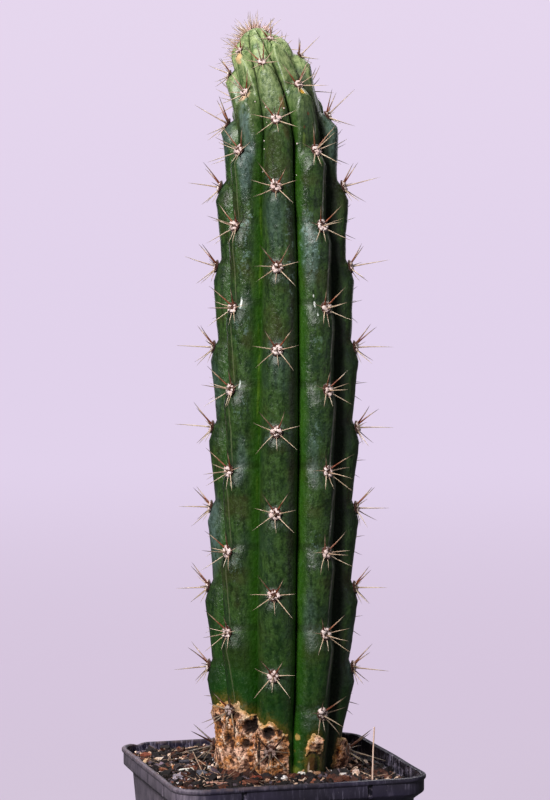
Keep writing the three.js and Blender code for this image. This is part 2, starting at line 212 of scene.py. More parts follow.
def leaning(out, up, side, off, turn):
    return out * math.cos(off) + math.sin(off) * clockwise(up, side, turn)


# Small helpers for materials

def rgb(red, green, blue):  # a colour as a picture shows it, 0 to 255
    def linear(v):
        v /= 255
        return v / 12.92 if v < 0.04045 else ((v + 0.055) / 1.055) ** 2.4
    return (linear(red), linear(green), linear(blue), 1)


class Term:  # a shader socket that can stand in a Python expression
    def __init__(self, finish, socket):
        self.finish = finish
        self.socket = socket

    def __add__(self, other):
        return self.finish.maths("ADD", self, other)

    def __radd__(self, other):
        return self.finish.maths("ADD", other, self)

    def __sub__(self, other):
        return self.finish.maths("SUBTRACT", self, other)

    def __rsub__(self, other):
        return self.finish.maths("SUBTRACT", other, self)

    def __mul__(self, other):
        return self.finish.maths("MULTIPLY", self, other)

    def __rmul__(self, other):
        return self.finish.maths("MULTIPLY", other, self)

    def __abs__(self):
        return self.finish.maths("ABSOLUTE", self)


class Finish:  # one procedural material
    def __init__(self, name, **fixed):
        self.material = bpy.data.materials.new(name)
        self.material.use_nodes = True
        self.tree = self.material.node_tree
        self.shader = self.tree.nodes["Principled BSDF"]
        self.places = {}
        for socket, value in fixed.items():
            self.shader.inputs[socket.replace("_", " ")].default_value = value

    def node(self, kind, settings, inputs, output=0):
        made = self.tree.nodes.new(kind)
        for key, value in settings.items():
            setattr(made, key, value)
        for key, value in inputs.items():
            if isinstance(value, Term):
                self.tree.links.new(value.socket, made.inputs[key])
            else:
                made.inputs[key].default_value = value
        return Term(self, made.outputs[output])

    def maths(self, operation, *values):
        return self.node("ShaderNodeMath", {"operation": operation}, dict(enumerate(values)))

    def least(self, first, second):
        return self.maths("MINIMUM", first, second)

    def most(self, first, second):
        return self.maths("MAXIMUM", first, second)

    def step(self, value, start, end):  # 0 before start, 1 after end, smooth between
        return self.node("ShaderNodeMapRange", {"interpolation_type": "SMOOTHSTEP"},
                         {"Value": value, "From Min": start, "From Max": end})

    def band(self, value, middle, start, end):  # the same by the distance from a middle
        return self.step(abs(value - middle), start, end)

    def place(self, upright=1):  # Object coordinates in millimetres, drawn out upwards below 1
        if upright not in self.places:
            coordinates = self.node("ShaderNodeTexCoord", {}, {}, "Object")
            scale = (1000, 1000, 1000 * upright)
            self.places[upright] = self.node("ShaderNodeMapping", {}, {"Vector": coordinates, "Scale": scale})
        return self.places[upright]

    def cloud(self, size, detail, rough=0.55, upright=1):
        return self.node("ShaderNodeTexNoise", {}, {"Vector": self.place(upright), "Scale": 1 / size,
                                                    "Detail": detail, "Roughness": rough})

    def cells(self, size):
        return self.node("ShaderNodeTexVoronoi", {}, {"Vector": self.place(), "Scale": 1 / size}, "Distance")

    def blend(self, first, second, factor):  # colours are other blends, or 0 to 255
        first, second = [v if isinstance(v, Term) else rgb(*v) for v in (first, second)]
        return self.node("ShaderNodeMix", {"data_type": "RGBA"}, {0: factor, 6: first, 7: second}, 2)

    def layered(self, body, *layers):  # colours laid over a body, each where its mask says
        for colour, mask in layers:
            body = self.blend(body, colour, mask)
        return body

    def toned(self, colour, factor):  # a colour made lighter or darker by a number
        return self.node("ShaderNodeVectorMath", {"operation": "SCALE"}, {0: colour, "Scale": factor})

    def parts(self, vector):
        split = self.node("ShaderNodeSeparateXYZ", {}, {0: vector})
        return [Term(self, split.socket.node.outputs[k]) for k in range(3)]

    def tone(self):  # the three numbers that each point of a piece carries
        return self.parts(self.node("ShaderNodeAttribute", {"attribute_name": "tone"}, {}, "Color"))

    def skinPlace(self):  # place around the stem in ribs, and along it in half pitches
        return self.parts(self.node("ShaderNodeUVMap", {"uv_map": "skinPlace"}, {}))[:2]

    def relief(self, height, depth, strength):  # bump from a height between 0 and 1, depth in millimetres
        return self.node("ShaderNodeBump", {},
                         {"Height": height, "Distance": depth * mm, "Strength": strength})

    def done(self, **links):
        for socket, term in links.items():
            self.tree.links.new(term.socket, self.shader.inputs[socket.replace("_", " ")])
        return self.material


# The stem's form: its solid's, with deeper furrows and fuller shoulders near the tip.
# Places along it are in half pitches, from the lowest areoles.

stemForm = {
    "ribAngles": [165.6, 206.6, 247.6, 289.6, 335.6, 24.6, 71.6, 118.6],
    "firstAreole": 106.2,
    "halfPitch": 15.46,
    "evenSpan": 13,
    "tipSpan": 8.95,
    "tipPower": 1.2,
    "lastAreole": 19,
    "end": 21.95,
    "crestRadius": [[-2.35, 12], [-2, 18.3], [-1, 24.3], [0, 26.1], [2, 27.8], [4, 28.1], [8, 27.8],
                    [10, 27], [12, 25.6], [14, 23.4], [16, 20.1], [17, 17.6], [18, 14.2], [19, 10.8],
                    [20, 7.2], [21, 3.6], [21.95, 0]],
    "ribDepth": [[-2.35, 0.5], [-1, 2.4], [0, 5], [2, 7.2], [12, 7], [15, 6.3], [17, 5.4], [19, 3.4],
                 [21, 0.9], [21.95, 0]],
    "chinHeight": [[-2.35, 0], [-0.5, 0.3], [1, 1.2], [3, 1.5], [12, 1.5], [14, 2], [16, 2.6], [18, 2.1],
                   [19, 1.5], [20, 0.5], [21.95, 0]],
    "chinOutline": [[0, 0], [0.085, -0.85], [0.5, 0.1], [0.82, 1], [1, 0]],
    "chinDroop": [[0, 0.12], [12, 0.2], [15, 0.7], [18, 0.9], [20, 0.5]],
    "furrowRoundness": [[-0.5, 0.62], [0, 0.62], [0.5, 0.8], [1, 0.66], [1.5, 0.95], [2, 0.62], [2.36, 0.6],
                        [2.5, 0.78], [2.64, 0.6], [3, 0.55], [3.2, 0.85], [3.5, 0.95], [3.8, 0.85],
                        [4, 0.62], [7.5, 0.62]],
    "tipRoundness": [[13, 1], [17, 0.68], [21.95, 0.68]],
    "sideways": [[-2.35, 3], [0, 3.1], [2, 4.1], [4, 4.4], [8, 5.3], [12, 5.3], [14, 4.5], [16, 4.2],
                 [21.95, 4.2]],
    "sidewaysAngle": -16.4,  # which way is the camera's right
    "leanAngle": 147,
    "leanFrom": 340,
    "leanReach": 11.7,
    "leanPower": 1.4,
    "mostTilt": 0.38,
    "tipHeight": 382.7,
    "pad": 0.6,
    # place around and along, then how far to the camera's right and up it is pushed
    "nudges": [[0, 18, 0.7, 1.8], [0, 17.2, 1.8, 0.8], [1, 19, 0.4, 1.9], [1, 17, 2.7, 1],
               [2, 18, 0.1, 1.5], [2, 16, 1.2, -0.8], [3, 19, -2.7, 2], [3, 17, -0.7, 0],
               [4, 18, -1.3, 2], [4, 17.2, -2, 0], [4, 16, -1.5, 0], [4, 19.5, -2.2, 0.4],
               [3.4, 18.8, -1.4, 0.5], [1, 1, 2, 1.2], [2, 0, 0, 2.1], [4, 0, -1.2, -1.6], [0, 0, 2.2, 0],
               [0, 6, 0.5, 0], [0, 8.4, 0.5, 0], [4, 12.4, -0.4, 0]],
    "nudgeReach": [0.45, 1.3],
    "nudgesEnd": 20.4,
}
ribCount = len(stemForm["ribAngles"])


def nudgePull(around, s):
    # How strongly each nudge pulls at each place: 1 where it lies, next to nothing a rib away.
    places = np.array(stemForm["nudges"])
    aside, up = stemForm["nudgeReach"]
    away = np.mod(around[:, None] - places[:, 0] + ribCount / 2, ribCount) - ribCount / 2
    return np.exp(-(away / aside) ** 2 - ((s[:, None] - places[:, 1]) / up) ** 2)


def nudgeShares():  # so that each place goes just as far as its nudge says
    places = np.array(stemForm["nudges"])
    return np.linalg.solve(nudgePull(places[:, 0], places[:, 1]), places[:, 2:])


def fromCamera(right, away):  # the camera's right and away, turned to x and y
    turn = math.radians(stemForm["sidewaysAngle"])
    return right * math.cos(turn) - away * math.sin(turn), right * math.sin(turn) + away * math.cos(turn)


def heightAt(s):
    span = stemForm["tipSpan"]
    power = stemForm["tipPower"] + 1
    closing = np.clip(s - stemForm["evenSpan"], 0, span)
    lost = span * (closing / span) ** power / power
    even = np.minimum(s, stemForm["evenSpan"])
    return stemForm["firstAreole"] + stemForm["halfPitch"] * (even + closing - lost)


def axisAt(s):  # the middle of a ring, and its tilt along x and y
    z = heightAt(s)
    run = np.maximum(z - stemForm["leanFrom"], 0) / (stemForm["tipHeight"] - stemForm["leanFrom"])
    shift = stemForm["leanReach"] * run ** stemForm["leanPower"]
    lean = math.radians(stemForm["leanAngle"])
    x, y = fromCamera(along(stemForm["sideways"], s), 0)
    tilt = stemForm["mostTilt"] * run
    return (x + shift * math.cos(lean), y + shift * math.sin(lean), z,
            tilt * math.cos(lean), tilt * math.sin(lean))


def skinAt(around, s, out=0.0):
    # Points of the skin in millimetres. A whole number around is a rib's crest, and a half is a furrow.
    angles = np.array(stemForm["ribAngles"])
    rib = np.floor(around + 0.5).astype(int)
    across = 2 * (around - rib)
    middle = angles[rib % ribCount]
    other = angles[(rib + np.where(across < 0, -1, 1)) % ribCount]
    gap = np.mod(np.where(across < 0, middle - other, other - middle), 360)
    angle = np.radians(middle + across * gap / 2)
    roundness = along(stemForm["furrowRoundness"], around) * along(stemForm["tipRoundness"], s)
    form = (1 - np.minimum(np.abs(across), 1) ** 2) ** roundness
    droop = along(stemForm["chinDroop"], s) * across ** 2
    place = np.mod(s + droop - rib % 2, 2) / 2
    chin = along(stemForm["chinHeight"], s) * np.interp(place, *np.array(stemForm["chinOutline"]).T)
    depth = along(stemForm["ribDepth"], s)
    radius = along(stemForm["crestRadius"], s) - depth * (1 - form) + chin * form ** 2 + out
    x, y, z, tiltX, tiltY = axisAt(s)
    dx = np.maximum(radius, 0) * np.cos(angle)
    dy = np.maximum(radius, 0) * np.sin(angle)
    pushed = nudgePull(around, s) @ nudgeShares() * smooth(stemForm["end"], stemForm["nudgesEnd"], s)[:, None]
    pushX, pushY = fromCamera(pushed[:, 0], 0)
    return np.column_stack([x + dx + pushX, y + dy + pushY, z - tiltX * dx - tiltY * dy + pushed[:, 1]])


def skinPoint(around, s, out=0.0):
    return skinAt(np.array([float(around)]), np.array([float(s)]), out)[0]


# Stem: a grid wrapped round the ribs

stem = {
    "columnsPerRib": 26,
    "rows": 400,
    "from": -1.6,
    "to": 21.95,
    "lumps": [[0.3, 9, 3], [0.13, 2.4, 8]],  # height, size, seed
    "lumpsEnd": 20.5,
    # rubbed wax with painted sheen, bluish wax bloom with painted sheen, and marks, among them painted white
    # glints: around, along, half width, half length, strength, colour
    "rubbedWaxAndSheen": [[2.74, 12.6, 0.2, 0.8, 0.8], [2.27, 12.5, 0.1, 1.6, 0.5], [1.22, 13.2, 0.13, 0.4, 0.8],
               [1.2, 12.4, 0.16, 0.6, 0.45], [1.2, 10.7, 0.13, 0.6, 0.6], [2.78, 10.2, 0.12, 0.45, 0.4],
               [1.14, 16.3, 0.12, 0.7, 0.6], [2.78, 7.9, 0.12, 0.6, 0.3], [1.2, 8.6, 0.12, 0.5, 0.35],
               [2.8, 5.25, 0.1, 0.35, 0.4], [1.18, 4.7, 0.12, 0.4, 0.35]],
    "waxBloomAndSheen": [[1.04, 15.9, 0.18, 0.75, 0.75], [1.2, 14.6, 0.14, 0.9, 0.7], [0.1, 15.4, 0.25, 0.7, 0.5],
             [2.72, 12.4, 0.15, 0.9, 0.5], [3.93, 15.3, 0.26, 1.0, 0.75], [0.1, 5.3, 0.27, 1.1, 0.75],
             [1.22, 7.3, 0.1, 0.6, 0.3], [2.74, 7.3, 0.11, 0.6, 0.3], [2.72, 3.4, 0.12, 0.8, 0.25],
             [0.1, 8.9, 0.22, 0.8, 0.4], [3.93, 2.4, 0.16, 0.9, 0.5], [2.05, 9.6, 0.18, 0.6, 0.22],
             [1.98, 13.2, 0.2, 0.8, 0.3]],
    "marks": [[1.02, 18.56, 0.19, 0.36, 0.88, (230, 190, 140)], [1, 16.86, 0.2, 0.23, 0.85, (228, 188, 156)],
              # painted glints: the next five marks, small white highlights beside the areoles
              [1.155, 11.12, 0.026, 0.17, 0.85, (236, 240, 236)],
              [1.15, 9.14, 0.022, 0.13, 0.7, (222, 232, 226)],
              [2.79, 11.1, 0.022, 0.09, 0.85, (240, 242, 238)],
              [2.77, 11.3, 0.018, 0.05, 0.8, (240, 242, 238)],
              [2.82, 10.85, 0.02, 0.05, 0.7, (230, 236, 230)], [2.95, 16.75, 0.07, 0.1, 0.9, (196, 148, 28)],
              [2.96, 16.06, 0.035, 0.06, 0.9, (104, 44, 18)], [2.79, 15.67, 0.03, 0.05, 0.9, (84, 40, 16)],
              [2.76, 15.3, 0.05, 0.3, 0.35, (118, 140, 60)], [2.28, 16.5, 0.1, 0.3, 0.45, (122, 72, 30)],
              [2.24, 15.6, 0.1, 0.3, 0.5, (70, 56, 26)], [2.57, 0.41, 0.05, 0.1, 0.8, (190, 152, 84)],
              [2.53, 0.05, 0.018, 0.05, 0.5, (130, 120, 50)], [2.6, -0.2, 0.03, 0.035, 0.5, (136, 124, 54)],
              [2.55, -0.45, 0.12, 0.16, 0.35, (150, 150, 60)], [2.84, -0.35, 0.12, 0.5, 0.85, (84, 54, 30)],
              [2.95, -0.4, 0.06, 0.5, 0.9, (24, 18, 12)], [2.79, -0.35, 0.022, 0.22, 0.75, (178, 160, 142)],
              [2.86, -0.6, 0.02, 0.2, 0.6, (150, 132, 116)], [3.06, -0.3, 0.05, 0.5, 0.5, (110, 90, 60)]],
}


def wrappedGrid(name, settings, formAt):
    # A grid whose long way round is the stem's girth, closed at both ends.
    # formAt gives its stand-off and a tone for each point.
    perRib = settings["columnsPerRib"]
    columns = perRib * ribCount
    bpy.ops.mesh.primitive_grid_add(x_subdivisions=columns, y_subdivisions=settings["rows"], size=1,
                                    calc_uvs=True)
    obj = newest(name)
    flat = pointsOf(obj)
    column = np.round((flat[:, 0] + 0.5) * columns)
    rib = np.minimum(column // perRib, ribCount - 1)
    across = np.sin((2 * (column - rib * perRib) / perRib - 1) * math.pi / 2)
    around = rib + across / 2
    s = settings["from"] + (flat[:, 1] + 0.5) * (settings["to"] - settings["from"])
    out, tones = formAt(around, s)
    setPoints(obj, skinAt(around, s, out) * mm)
    setPointTone(obj, tones)
    places = np.empty(len(obj.data.loops), dtype=np.int32)
    obj.data.loops.foreach_get("vertex_index", places)
    layer = obj.data.uv_layers[0]
    layer.name = "skinPlace"
    layer.data.foreach_set("uv", np.column_stack([around[places], s[places]]).astype(np.float32).ravel())
    editAll(obj, mergeSeams, fillHoles, selectAll, facesOut)
    return obj


def stemFormAt(around, s):
    # Waves and pebbles, sunk where the cork lies on it. The tone tells how near the cork is.
    points = skinAt(around, s)
    inside, hollow = corkCover(around, s, points)
    covered = smooth(0, cork["edgeStep"], inside)
    nearCork = smooth(*cork["halo"], inside)
    out = addedRipples(points, stem["lumps"]) * smooth(stem["to"], stem["lumpsEnd"], s)
    return out - covered * (cork["bedded"] + hollow), np.column_stack([nearCork, np.zeros((len(s), 2))])


def patch(look, around, s, place):
    # A soft spot on the skin or the cork, by the place's first five numbers.
    return look.step(spotDistance(around, s, place), 1.6, 0.1) * place[4]


def spotDistance(around, s, place):
    dx = (around - place[0]) * (1 / place[2])
    dy = (s - place[1]) * (1 / place[3])
    return dx * dx + dy * dy


def makeSkinFinish():
    look = Finish("waxySkin", Specular_IOR_Level=0.42, Coat_Roughness=0.3, Coat_IOR=1.4)
    around, s = look.skinPlace()
    rib = look.maths("FLOOR", around + 0.5)
    across = abs((around - rib) * 2)
    pitch = look.maths("FRACT", (s - look.maths("MODULO", rib + 8, 2) + 4) * 0.5)
    nearCork = look.tone()[0]
    patches = look.cloud(15, 3)
    streaks = look.cloud(2.2, 5, 0.68, upright=0.2)
    spots = look.cloud(1.7, 6, 0.78, upright=0.7)
    flecks = look.cloud(0.75, 4, 0.75)
    mottle = streaks * 0.45 + spots * 0.55
    fresh = look.blend((82, 110, 60), (178, 194, 134), look.step(mottle, 0.4, 0.6))
    low = look.step(s, 4.0, 0.9) * (0.5 + look.step(around, 1.8, 1.4) * 0.36)
    thread = look.band(around, 1.47, 0.03, 0.008) * look.step(s, 5, 9) * look.step(s, 15, 13)
    crest = look.step(across, 0.05, 0.015) * look.band(pitch, 0.5, 0.44, 0.36)
    otherRibs = look.band(around, 2, 0.5, 0.95) * look.band(around, 3, 0.5, 0.95)
    limbReflection = look.band(around, 3.12, 0.035, 0.01) * look.step(s, 16.6, 15.4) * look.step(s, 1.2, 2)
    flankShade = look.band(around, 2.35, 0.17, 0.06) * look.step(s, 3, 6) * look.step(s, 14.5, 13)
    shaded = look.band(around, 3.45, 0.29, 0.19) * look.step(s, 17.9, 16.9)
    upper = look.step(pitch, 0.72, 0.86) * look.step(s, 15, 13) * look.step(across, 0.9, 0.5)
    body = look.layered(
        look.blend((22, 42, 15), (58, 86, 36), look.step(mottle, 0.41, 0.6)),
        # greens, streaked upwards and mottled
        ((56, 56, 22), look.step(patches, 0.5, 0.68) * 0.5),
        ((36, 58, 40), look.step(patches, 0.48, 0.32) * 0.55),
        ((44, 88, 12), look.step(across, 0.6, 0.98) * 0.8),
        (fresh, look.step(s, 15, 19.2) * 0.92),
        ((14, 60, 3), low),
        ((104, 130, 82), look.step(flecks, 0.58, 0.74) * 0.42),
        ((12, 22, 7), look.step(flecks, 0.42, 0.28) * 0.6),
        # painted shade in the crease that the shoulders hang over and in the tip's furrows; yellow-brown
        # round the cork
        ((20, 30, 10), look.band(pitch, 0.07, 0.07, 0.02) * 0.4),
        ((10, 18, 6), look.step(across, 0.84, 0.98) * look.step(s, 12, 16) * 0.8),
        ((110, 86, 26), nearCork * look.step(mottle + flecks, 0.85, 1.15) * 0.75),
        # bright thread in the furrow between two broad ribs
        ((104, 136, 38), thread * look.step(streaks, 0.44, 0.64) * 0.5),
        # painted highlight: a pale line along each crest, between the areoles
        ((132, 134, 104), crest * otherRibs * 0.3),
        # painted reflection of the pale surroundings, a line along one rib's limb
        ((158, 156, 150), limbReflection * look.step(streaks, 0.36, 0.52) * 0.6),
        # painted shade on the right flank of the middle rib
        ((22, 20, 8), flankShade * 0.64),
        # painted shade in the crease over the top, and a painted shadow on the side of the sharp rib under it
        ((14, 24, 8), look.band(around, 3.4, 0.13, 0.03) * look.step(s, 16.4, 17.2) * 0.75),
        ((8, 11, 6), shaded * 0.82),
        # painted shade: deeper green on the shoulders that face up to the light, to dim them
        ((18, 38, 14), upper * 0.55))
    # wax rubbed to grey, with painted sheen, most on the shoulders that face the light
    rubbedWaxAndSheen = look.step(look.cloud(2.2, 6, 0.8), 0.52, 0.63)
    ledges = look.most(look.step(pitch, 0.22, 0.02), look.step(pitch, 0.72, 0.96))
    shoulder = look.step(across, 0.85, 0.2) * look.step(s, 17.5, 15) * ledges
    scuffAndSheen = rubbedWaxAndSheen * (shoulder * look.step(patches, 0.38, 0.6) * 0.22 + 0.03)
    worn = look.step(rubbedWaxAndSheen, 0, 0.75)
    for place in stem["rubbedWaxAndSheen"]:
        scuffAndSheen = look.most(scuffAndSheen, patch(look, around, s, place) * worn)
    haze = look.step(spots, 0.32, 0.6)
    edge = look.cloud(1.1, 3) * 1.6
    body = look.layered(
        body,
        # bluish wax bloom with painted sheen, in the listed patches
        *[((92, 112, 112), patch(look, around, s, place) * haze) for place in stem["waxBloomAndSheen"]],
        # grey of rubbed wax and painted sheen
        ((122, 148, 142), look.least(scuffAndSheen, 0.72)),
        # marks and scars; a few are painted glints
        *[(place[5], look.step(spotDistance(around, s, place) + edge, 1.9, 0.9) * place[4])
          for place in stem["marks"]])
    tip = look.step(s, 16.5, 19)
    roughness = 0.27 + look.step(mottle, 0.35, 0.65) * 0.16 + scuffAndSheen * 0.1 + shoulder * 0.16
    coat = 0.14 - scuffAndSheen * 0.1 - shoulder * 0.1 - shaded * 0.14 - tip * 0.1
    dents = look.cloud(1.15, 2, 0.5, upright=0.75)
    uneven = (mottle * 0.25 + dents * 0.55 + flecks * 0.2) * (1 - look.step(s, 14, 18) * 0.45)
    return look.done(Base_Color=body, Roughness=roughness + shaded * 0.5 + tip * 0.14,
                     Coat_Weight=look.most(coat, 0), Normal=look.relief(uneven, 0.58, 1))


# Cork: the scarred crust round the foot, a second skin that sinks into the first where there is none

cork = {
    "columnsPerRib": 64,
    "rows": 136,
    "from": -0.9,
    "to": 1.6,
    # how far up it reaches, round the stem
    "edge": [[-0.5, 0.5], [0, 0.9], [0.28, 1.18], [0.8, 1.15], [1.1, 1.2], [1.35, 1.0], [1.65, 0.86],
             [1.8, 0.76], [2.05, 0.78], [2.25, 0.52], [2.34, 0.4], [2.42, -0.4], [2.5, -0.8], [2.66, -0.7],
             [2.72, 0.2], [2.8, 0.48], [2.9, 0.54], [3.02, 0.42], [3.1, 0.0], [3.2, -0.6], [3.56, -0.7],
             [3.68, 0.0], [3.78, 0.34], [3.96, 0.4], [4.3, 0.1], [4.5, -0.5], [5, 0.35], [5.45, -0.4],
             [6, 0.5], [6.5, 0.1], [7, 0.75], [7.5, 0.5]],
    # height, size and seed of the lumps in its edges and on its face
    "ragged": [[0.13, 3.1, 1], [0.07, 1.2, 4]],
    "shifted": [[0.07, 1.8, 9]],
    "torn": [[0.4, 2.3, 5], [0.3, 0.9, 2]],
    "coarse": [[0.7, 3.6, 2]],
    "wrinkles": [[0.35, 1.7, 6]],
    "wrinklesFlat": [1, 1, 1.4],
    "granuleSize": 1.15,
    "granuleHeight": 0.75,
    "granuleReach": 0.4,
    "thick": 0.75,
    "thinnest": 0.2,
    "lip": [0.4, 0.1, 0.08],  # height, how far inside the edge, half width
    "pitRim": [0.32, 1.25, 0.3],  # the same round a pit, by the pit's depth and size
    "edgeStep": 0.12,
    "fade": 0.2,
    "bareEdge": 0.3,
    "pitFade": [1.35, 0.2],
    "sunk": -0.9,
    "bedded": 0.45,
    "halo": [-0.3, 0.02],
    # place around, place along, half width, half height, how high or deep
    "lumps": [[2.93, 0.22, 0.13, 0.24, 1.5], [4.15, -0.15, 0.2, 0.4, 2.2], [1.2, 0.9, 0.2, 0.25, 0.5],
              [1.75, 0.1, 0.18, 0.35, 0.5], [0.6, 0.2, 0.3, 0.5, 0.6], [3.9, 0, 0.1, 0.4, 0.5],
              [6.1, 0, 0.25, 0.4, 0.8], [7.1, 0.3, 0.2, 0.35, 0.7], [5, 0, 0.2, 0.3, 0.7]],
    "pits": [[1.5, 0.66, 0.19, 0.2, 2.0], [1.93, 0.46, 0.14, 0.17, 1.7], [1.73, 0.05, 0.045, 0.5, 1.0],
             [1.13, 0.55, 0.035, 0.32, 0.9], [1.36, 0.2, 0.12, 0.12, 0.8], [0.93, 0.3, 0.08, 0.12, 0.8],
             [1.62, 0.12, 0.06, 0.08, 0.9], [2.16, 0.5, 0.06, 0.1, 0.8], [2.93, 0.2, 0.06, 0.1, 0.7],
             [7.2, 0.6, 0.1, 0.14, 1.2], [6, -0.1, 0.1, 0.12, 1.0], [0.3, 0.7, 0.09, 0.13, 1.0]],
    # skin left bare under the round lump: place around, place along, half width, half height
    "bare": [[2.95, -0.42, 0.24, 0.42], [2.5, -0.3, 0.1, 1]],
    # dark stains: place around, place along, half width, half height, strength
    "stains": [[2.0, 0.1, 0.3, 0.4, 0.3], [1.02, 1.0, 0.15, 0.22, 0.85], [2.25, 0.1, 0.1, 0.6, 0.5],
               [0.96, 0.35, 0.1, 0.3, 0.5], [2.9, 0.24, 0.05, 0.1, 0.8]],
}


def awayFrom(around, s, place):  # 1 at the rim of a place
    return np.hypot((around - place[0]) / place[2], (s - place[1]) / place[3])


def corkCover(around, s, points):  # how far inside the cork's edge, and how deep its hollows are
    ragged = addedRipples(points, cork["ragged"])
    inside = along(cork["edge"], around + addedRipples(points, cork["shifted"])) + ragged - s
    for place in cork["bare"]:
        inside = np.minimum(inside, (awayFrom(around, s, place) - 1) * cork["bareEdge"] + ragged)
    torn = addedRipples(points, cork["torn"])
    hollow = np.zeros_like(s)
    for place in cork["pits"]:
        deep = place[4] * smooth(*cork["pitFade"], awayFrom(around, s, place) + torn)
        hollow = np.maximum(hollow, deep)
    return inside, hollow


def corkFormAt(around, s):
    # Stand-off from the skin. The tone holds the crust's height, its hollows and nearness to its edge.
    points = skinAt(around, s)
    inside, hollow = corkCover(around, s, points)
    cover = smooth(0, cork["edgeStep"], inside)
    height, middle, wide = cork["lip"]
    lip = np.exp(-((inside - middle) / wide) ** 2) * height
    height, middle, wide = cork["pitRim"]
    rims = np.zeros_like(s)
    for place in cork["pits"]:
        rim = np.exp(-((awayFrom(around, s, place) - middle) / wide) ** 2)
        rims = np.maximum(rims, height * place[4] * rim)
    lumps = np.zeros_like(s)
    for at, up, wide, tall, height in cork["lumps"]:
        lumps += height * np.exp(-((around - at) / wide) ** 2 - ((s - up) / tall) ** 2)
    coarse = addedRipples(points, cork["coarse"])
    wrinkles = addedRipples(points * cork["wrinklesFlat"], cork["wrinkles"])
    crumbs = cork["granuleHeight"] * (cork["granuleReach"] - granules(points, cork["granuleSize"]))
    rough = coarse + wrinkles + crumbs
    out = np.maximum(cork["thick"] + lip + rims + rough + lumps, cork["thinnest"]) - hollow
    faded = smooth(cork["to"], cork["to"] - cork["fade"], s)
    tones = [0.42 + rough * 0.7 + rims * 0.4, np.clip(hollow / 0.9, 0, 1), smooth(0.22, 0.04, inside)]
    return cork["sunk"] + (out - cork["sunk"]) * cover * faded, np.clip(np.column_stack(tones), 0, 1)


def makeCorkFinish():
    look = Finish("corkyScar", Roughness=0.82, Specular_IOR_Level=0.3)
    around, s = look.skinPlace()
    height, hollow, edge = look.tone()
    broad = look.cloud(6, 3)
    middle = look.cloud(1.7, 5, 0.72, upright=1.4)
    fine = look.cloud(0.5, 5, 0.75)
    lumpy = look.cloud(2.6, 3, 0.6)
    grain = look.cells(0.8)
    veins = abs(look.cloud(3.4, 4, 0.6, upright=0.55) - 0.5)
    raised = look.step(height + (fine - 0.5) * 0.7 + (lumpy - 0.5) * 0.9 - grain * 0.3, 0.4, 0.72)
    stain = look.step(fine, 0.7, 0.35)
    body = look.layered(
        look.blend((220, 154, 98), (246, 194, 166), look.step(broad, 0.42, 0.6)),
        ((212, 124, 48), look.step(middle, 0.46, 0.6) * look.step(broad, 0.62, 0.42) * 0.85),
        ((76, 38, 22), look.step(lumpy + (middle - 0.5) * 0.6, 0.5, 0.36) * 0.88),
        # painted shade between the granules, and a painted highlight on their tops
        ((62, 32, 20), look.step(height + (fine - 0.5) * 0.5, 0.34, 0.08) * 0.9),
        ((255, 228, 204), raised * 0.92),
        ((34, 18, 12), look.step(grain + (fine - 0.5) * 1.1, 0.62, 0.86) * 0.8),
        ((64, 28, 16), look.step(veins, 0.03, 0.006) * 0.75),
        ((226, 186, 118), edge * look.step(fine + broad * 0.4, 0.45, 0.75) * 0.6),
        *[((58, 30, 20), patch(look, around, s, place) * stain) for place in cork["stains"]],
        # painted shade in the hollows, and darker towards the foot
        ((50, 28, 20), look.step(hollow + (fine - 0.5) * 0.9, 0.15, 0.5) * 0.85),
        ((22, 13, 11), look.step(hollow + (fine - 0.5) * 1.1, 0.5, 0.95) * 0.85),
        ((66, 38, 24), look.step(s, -0.2, -0.6) * 0.55))
    uneven = middle * 0.3 + fine * 0.4 + (1 - grain) * 0.3
    return look.done(Base_Color=body, Normal=look.relief(uneven, 0.9, 1))


stemSkin = wrappedGrid("stemSkin", stem, stemFormAt)
finishPiece(stemSkin, makeSkinFinish(), 180, replaced="cactus_stem")
corkCrust = wrappedGrid("corkCrust", cork, corkFormAt)
finishPiece(corkCrust, makeCorkFinish(), 180)


# Areoles: felt pads of woolly lumps with spines between them

areole = {
    "seed": 7,
    "turnJitter": 6,
    "lengthJitter": 0.12,
    "rednessJitter": 0.15,
    "youngFrom": 16,
    "youngest": 0.6,
    "central": [13.8, 0.72, 0.25],  # length, thickness, redness
    "centralRise": [[0, -16], [4, -6], [12, -1], [16, 4]],
    # degrees off the outward normal, degrees round from straight up, length, thickness, redness
    "spines": [[48, 37, 10.6, 0.84, 0.9], [48, -37, 10.6, 0.84, 0.9], [68, 80, 7.8, 0.58, 0.25],
               [68, -80, 7.8, 0.58, 0.25], [60, 134, 10.4, 0.6, 0.1], [60, -134, 10.4, 0.6, 0.1],
               [72, 180, 5.5, 0.48, 0.05]],
    # height up a spine and half width there
    "girth": [[0, 0.6], [0.06, 0.66], [0.18, 0.42], [0.4, 0.31], [0.65, 0.24], [0.86, 0.14], [1, 0.03]],
    "ring": 1.6,
    "sunk": 0.9,
    "clearOfSoil": 101,
    "bend": 0.5,
    "oldUpTo": [-0.5, 2.5],
}


def areolePlaces():
    for rib in range(ribCount):
        for s in range(rib % 2, stemForm["lastAreole"] + 1, 2):
            yield rib, s, 1 - smooth(*areole["oldUpTo"], s)


def areoleFrame(rib, s):
    # The middle of a felt pad in millimetres, and its outward, upward and sideways directions.
    raised = 0
    if s < 2:
        raised = max(corkFormAt(np.array([float(rib)]), np.array([float(s)]))[0][0], 0)
    middle = skinPoint(rib, s, stemForm["pad"] + raised)
    up = unit(skinPoint(rib, s + 0.5) - skinPoint(rib, s - 0.5))
    side = unit(np.cross(up, middle - np.array(axisAt(float(s))[:3])))
    return middle, unit(np.cross(side, up)), up, side


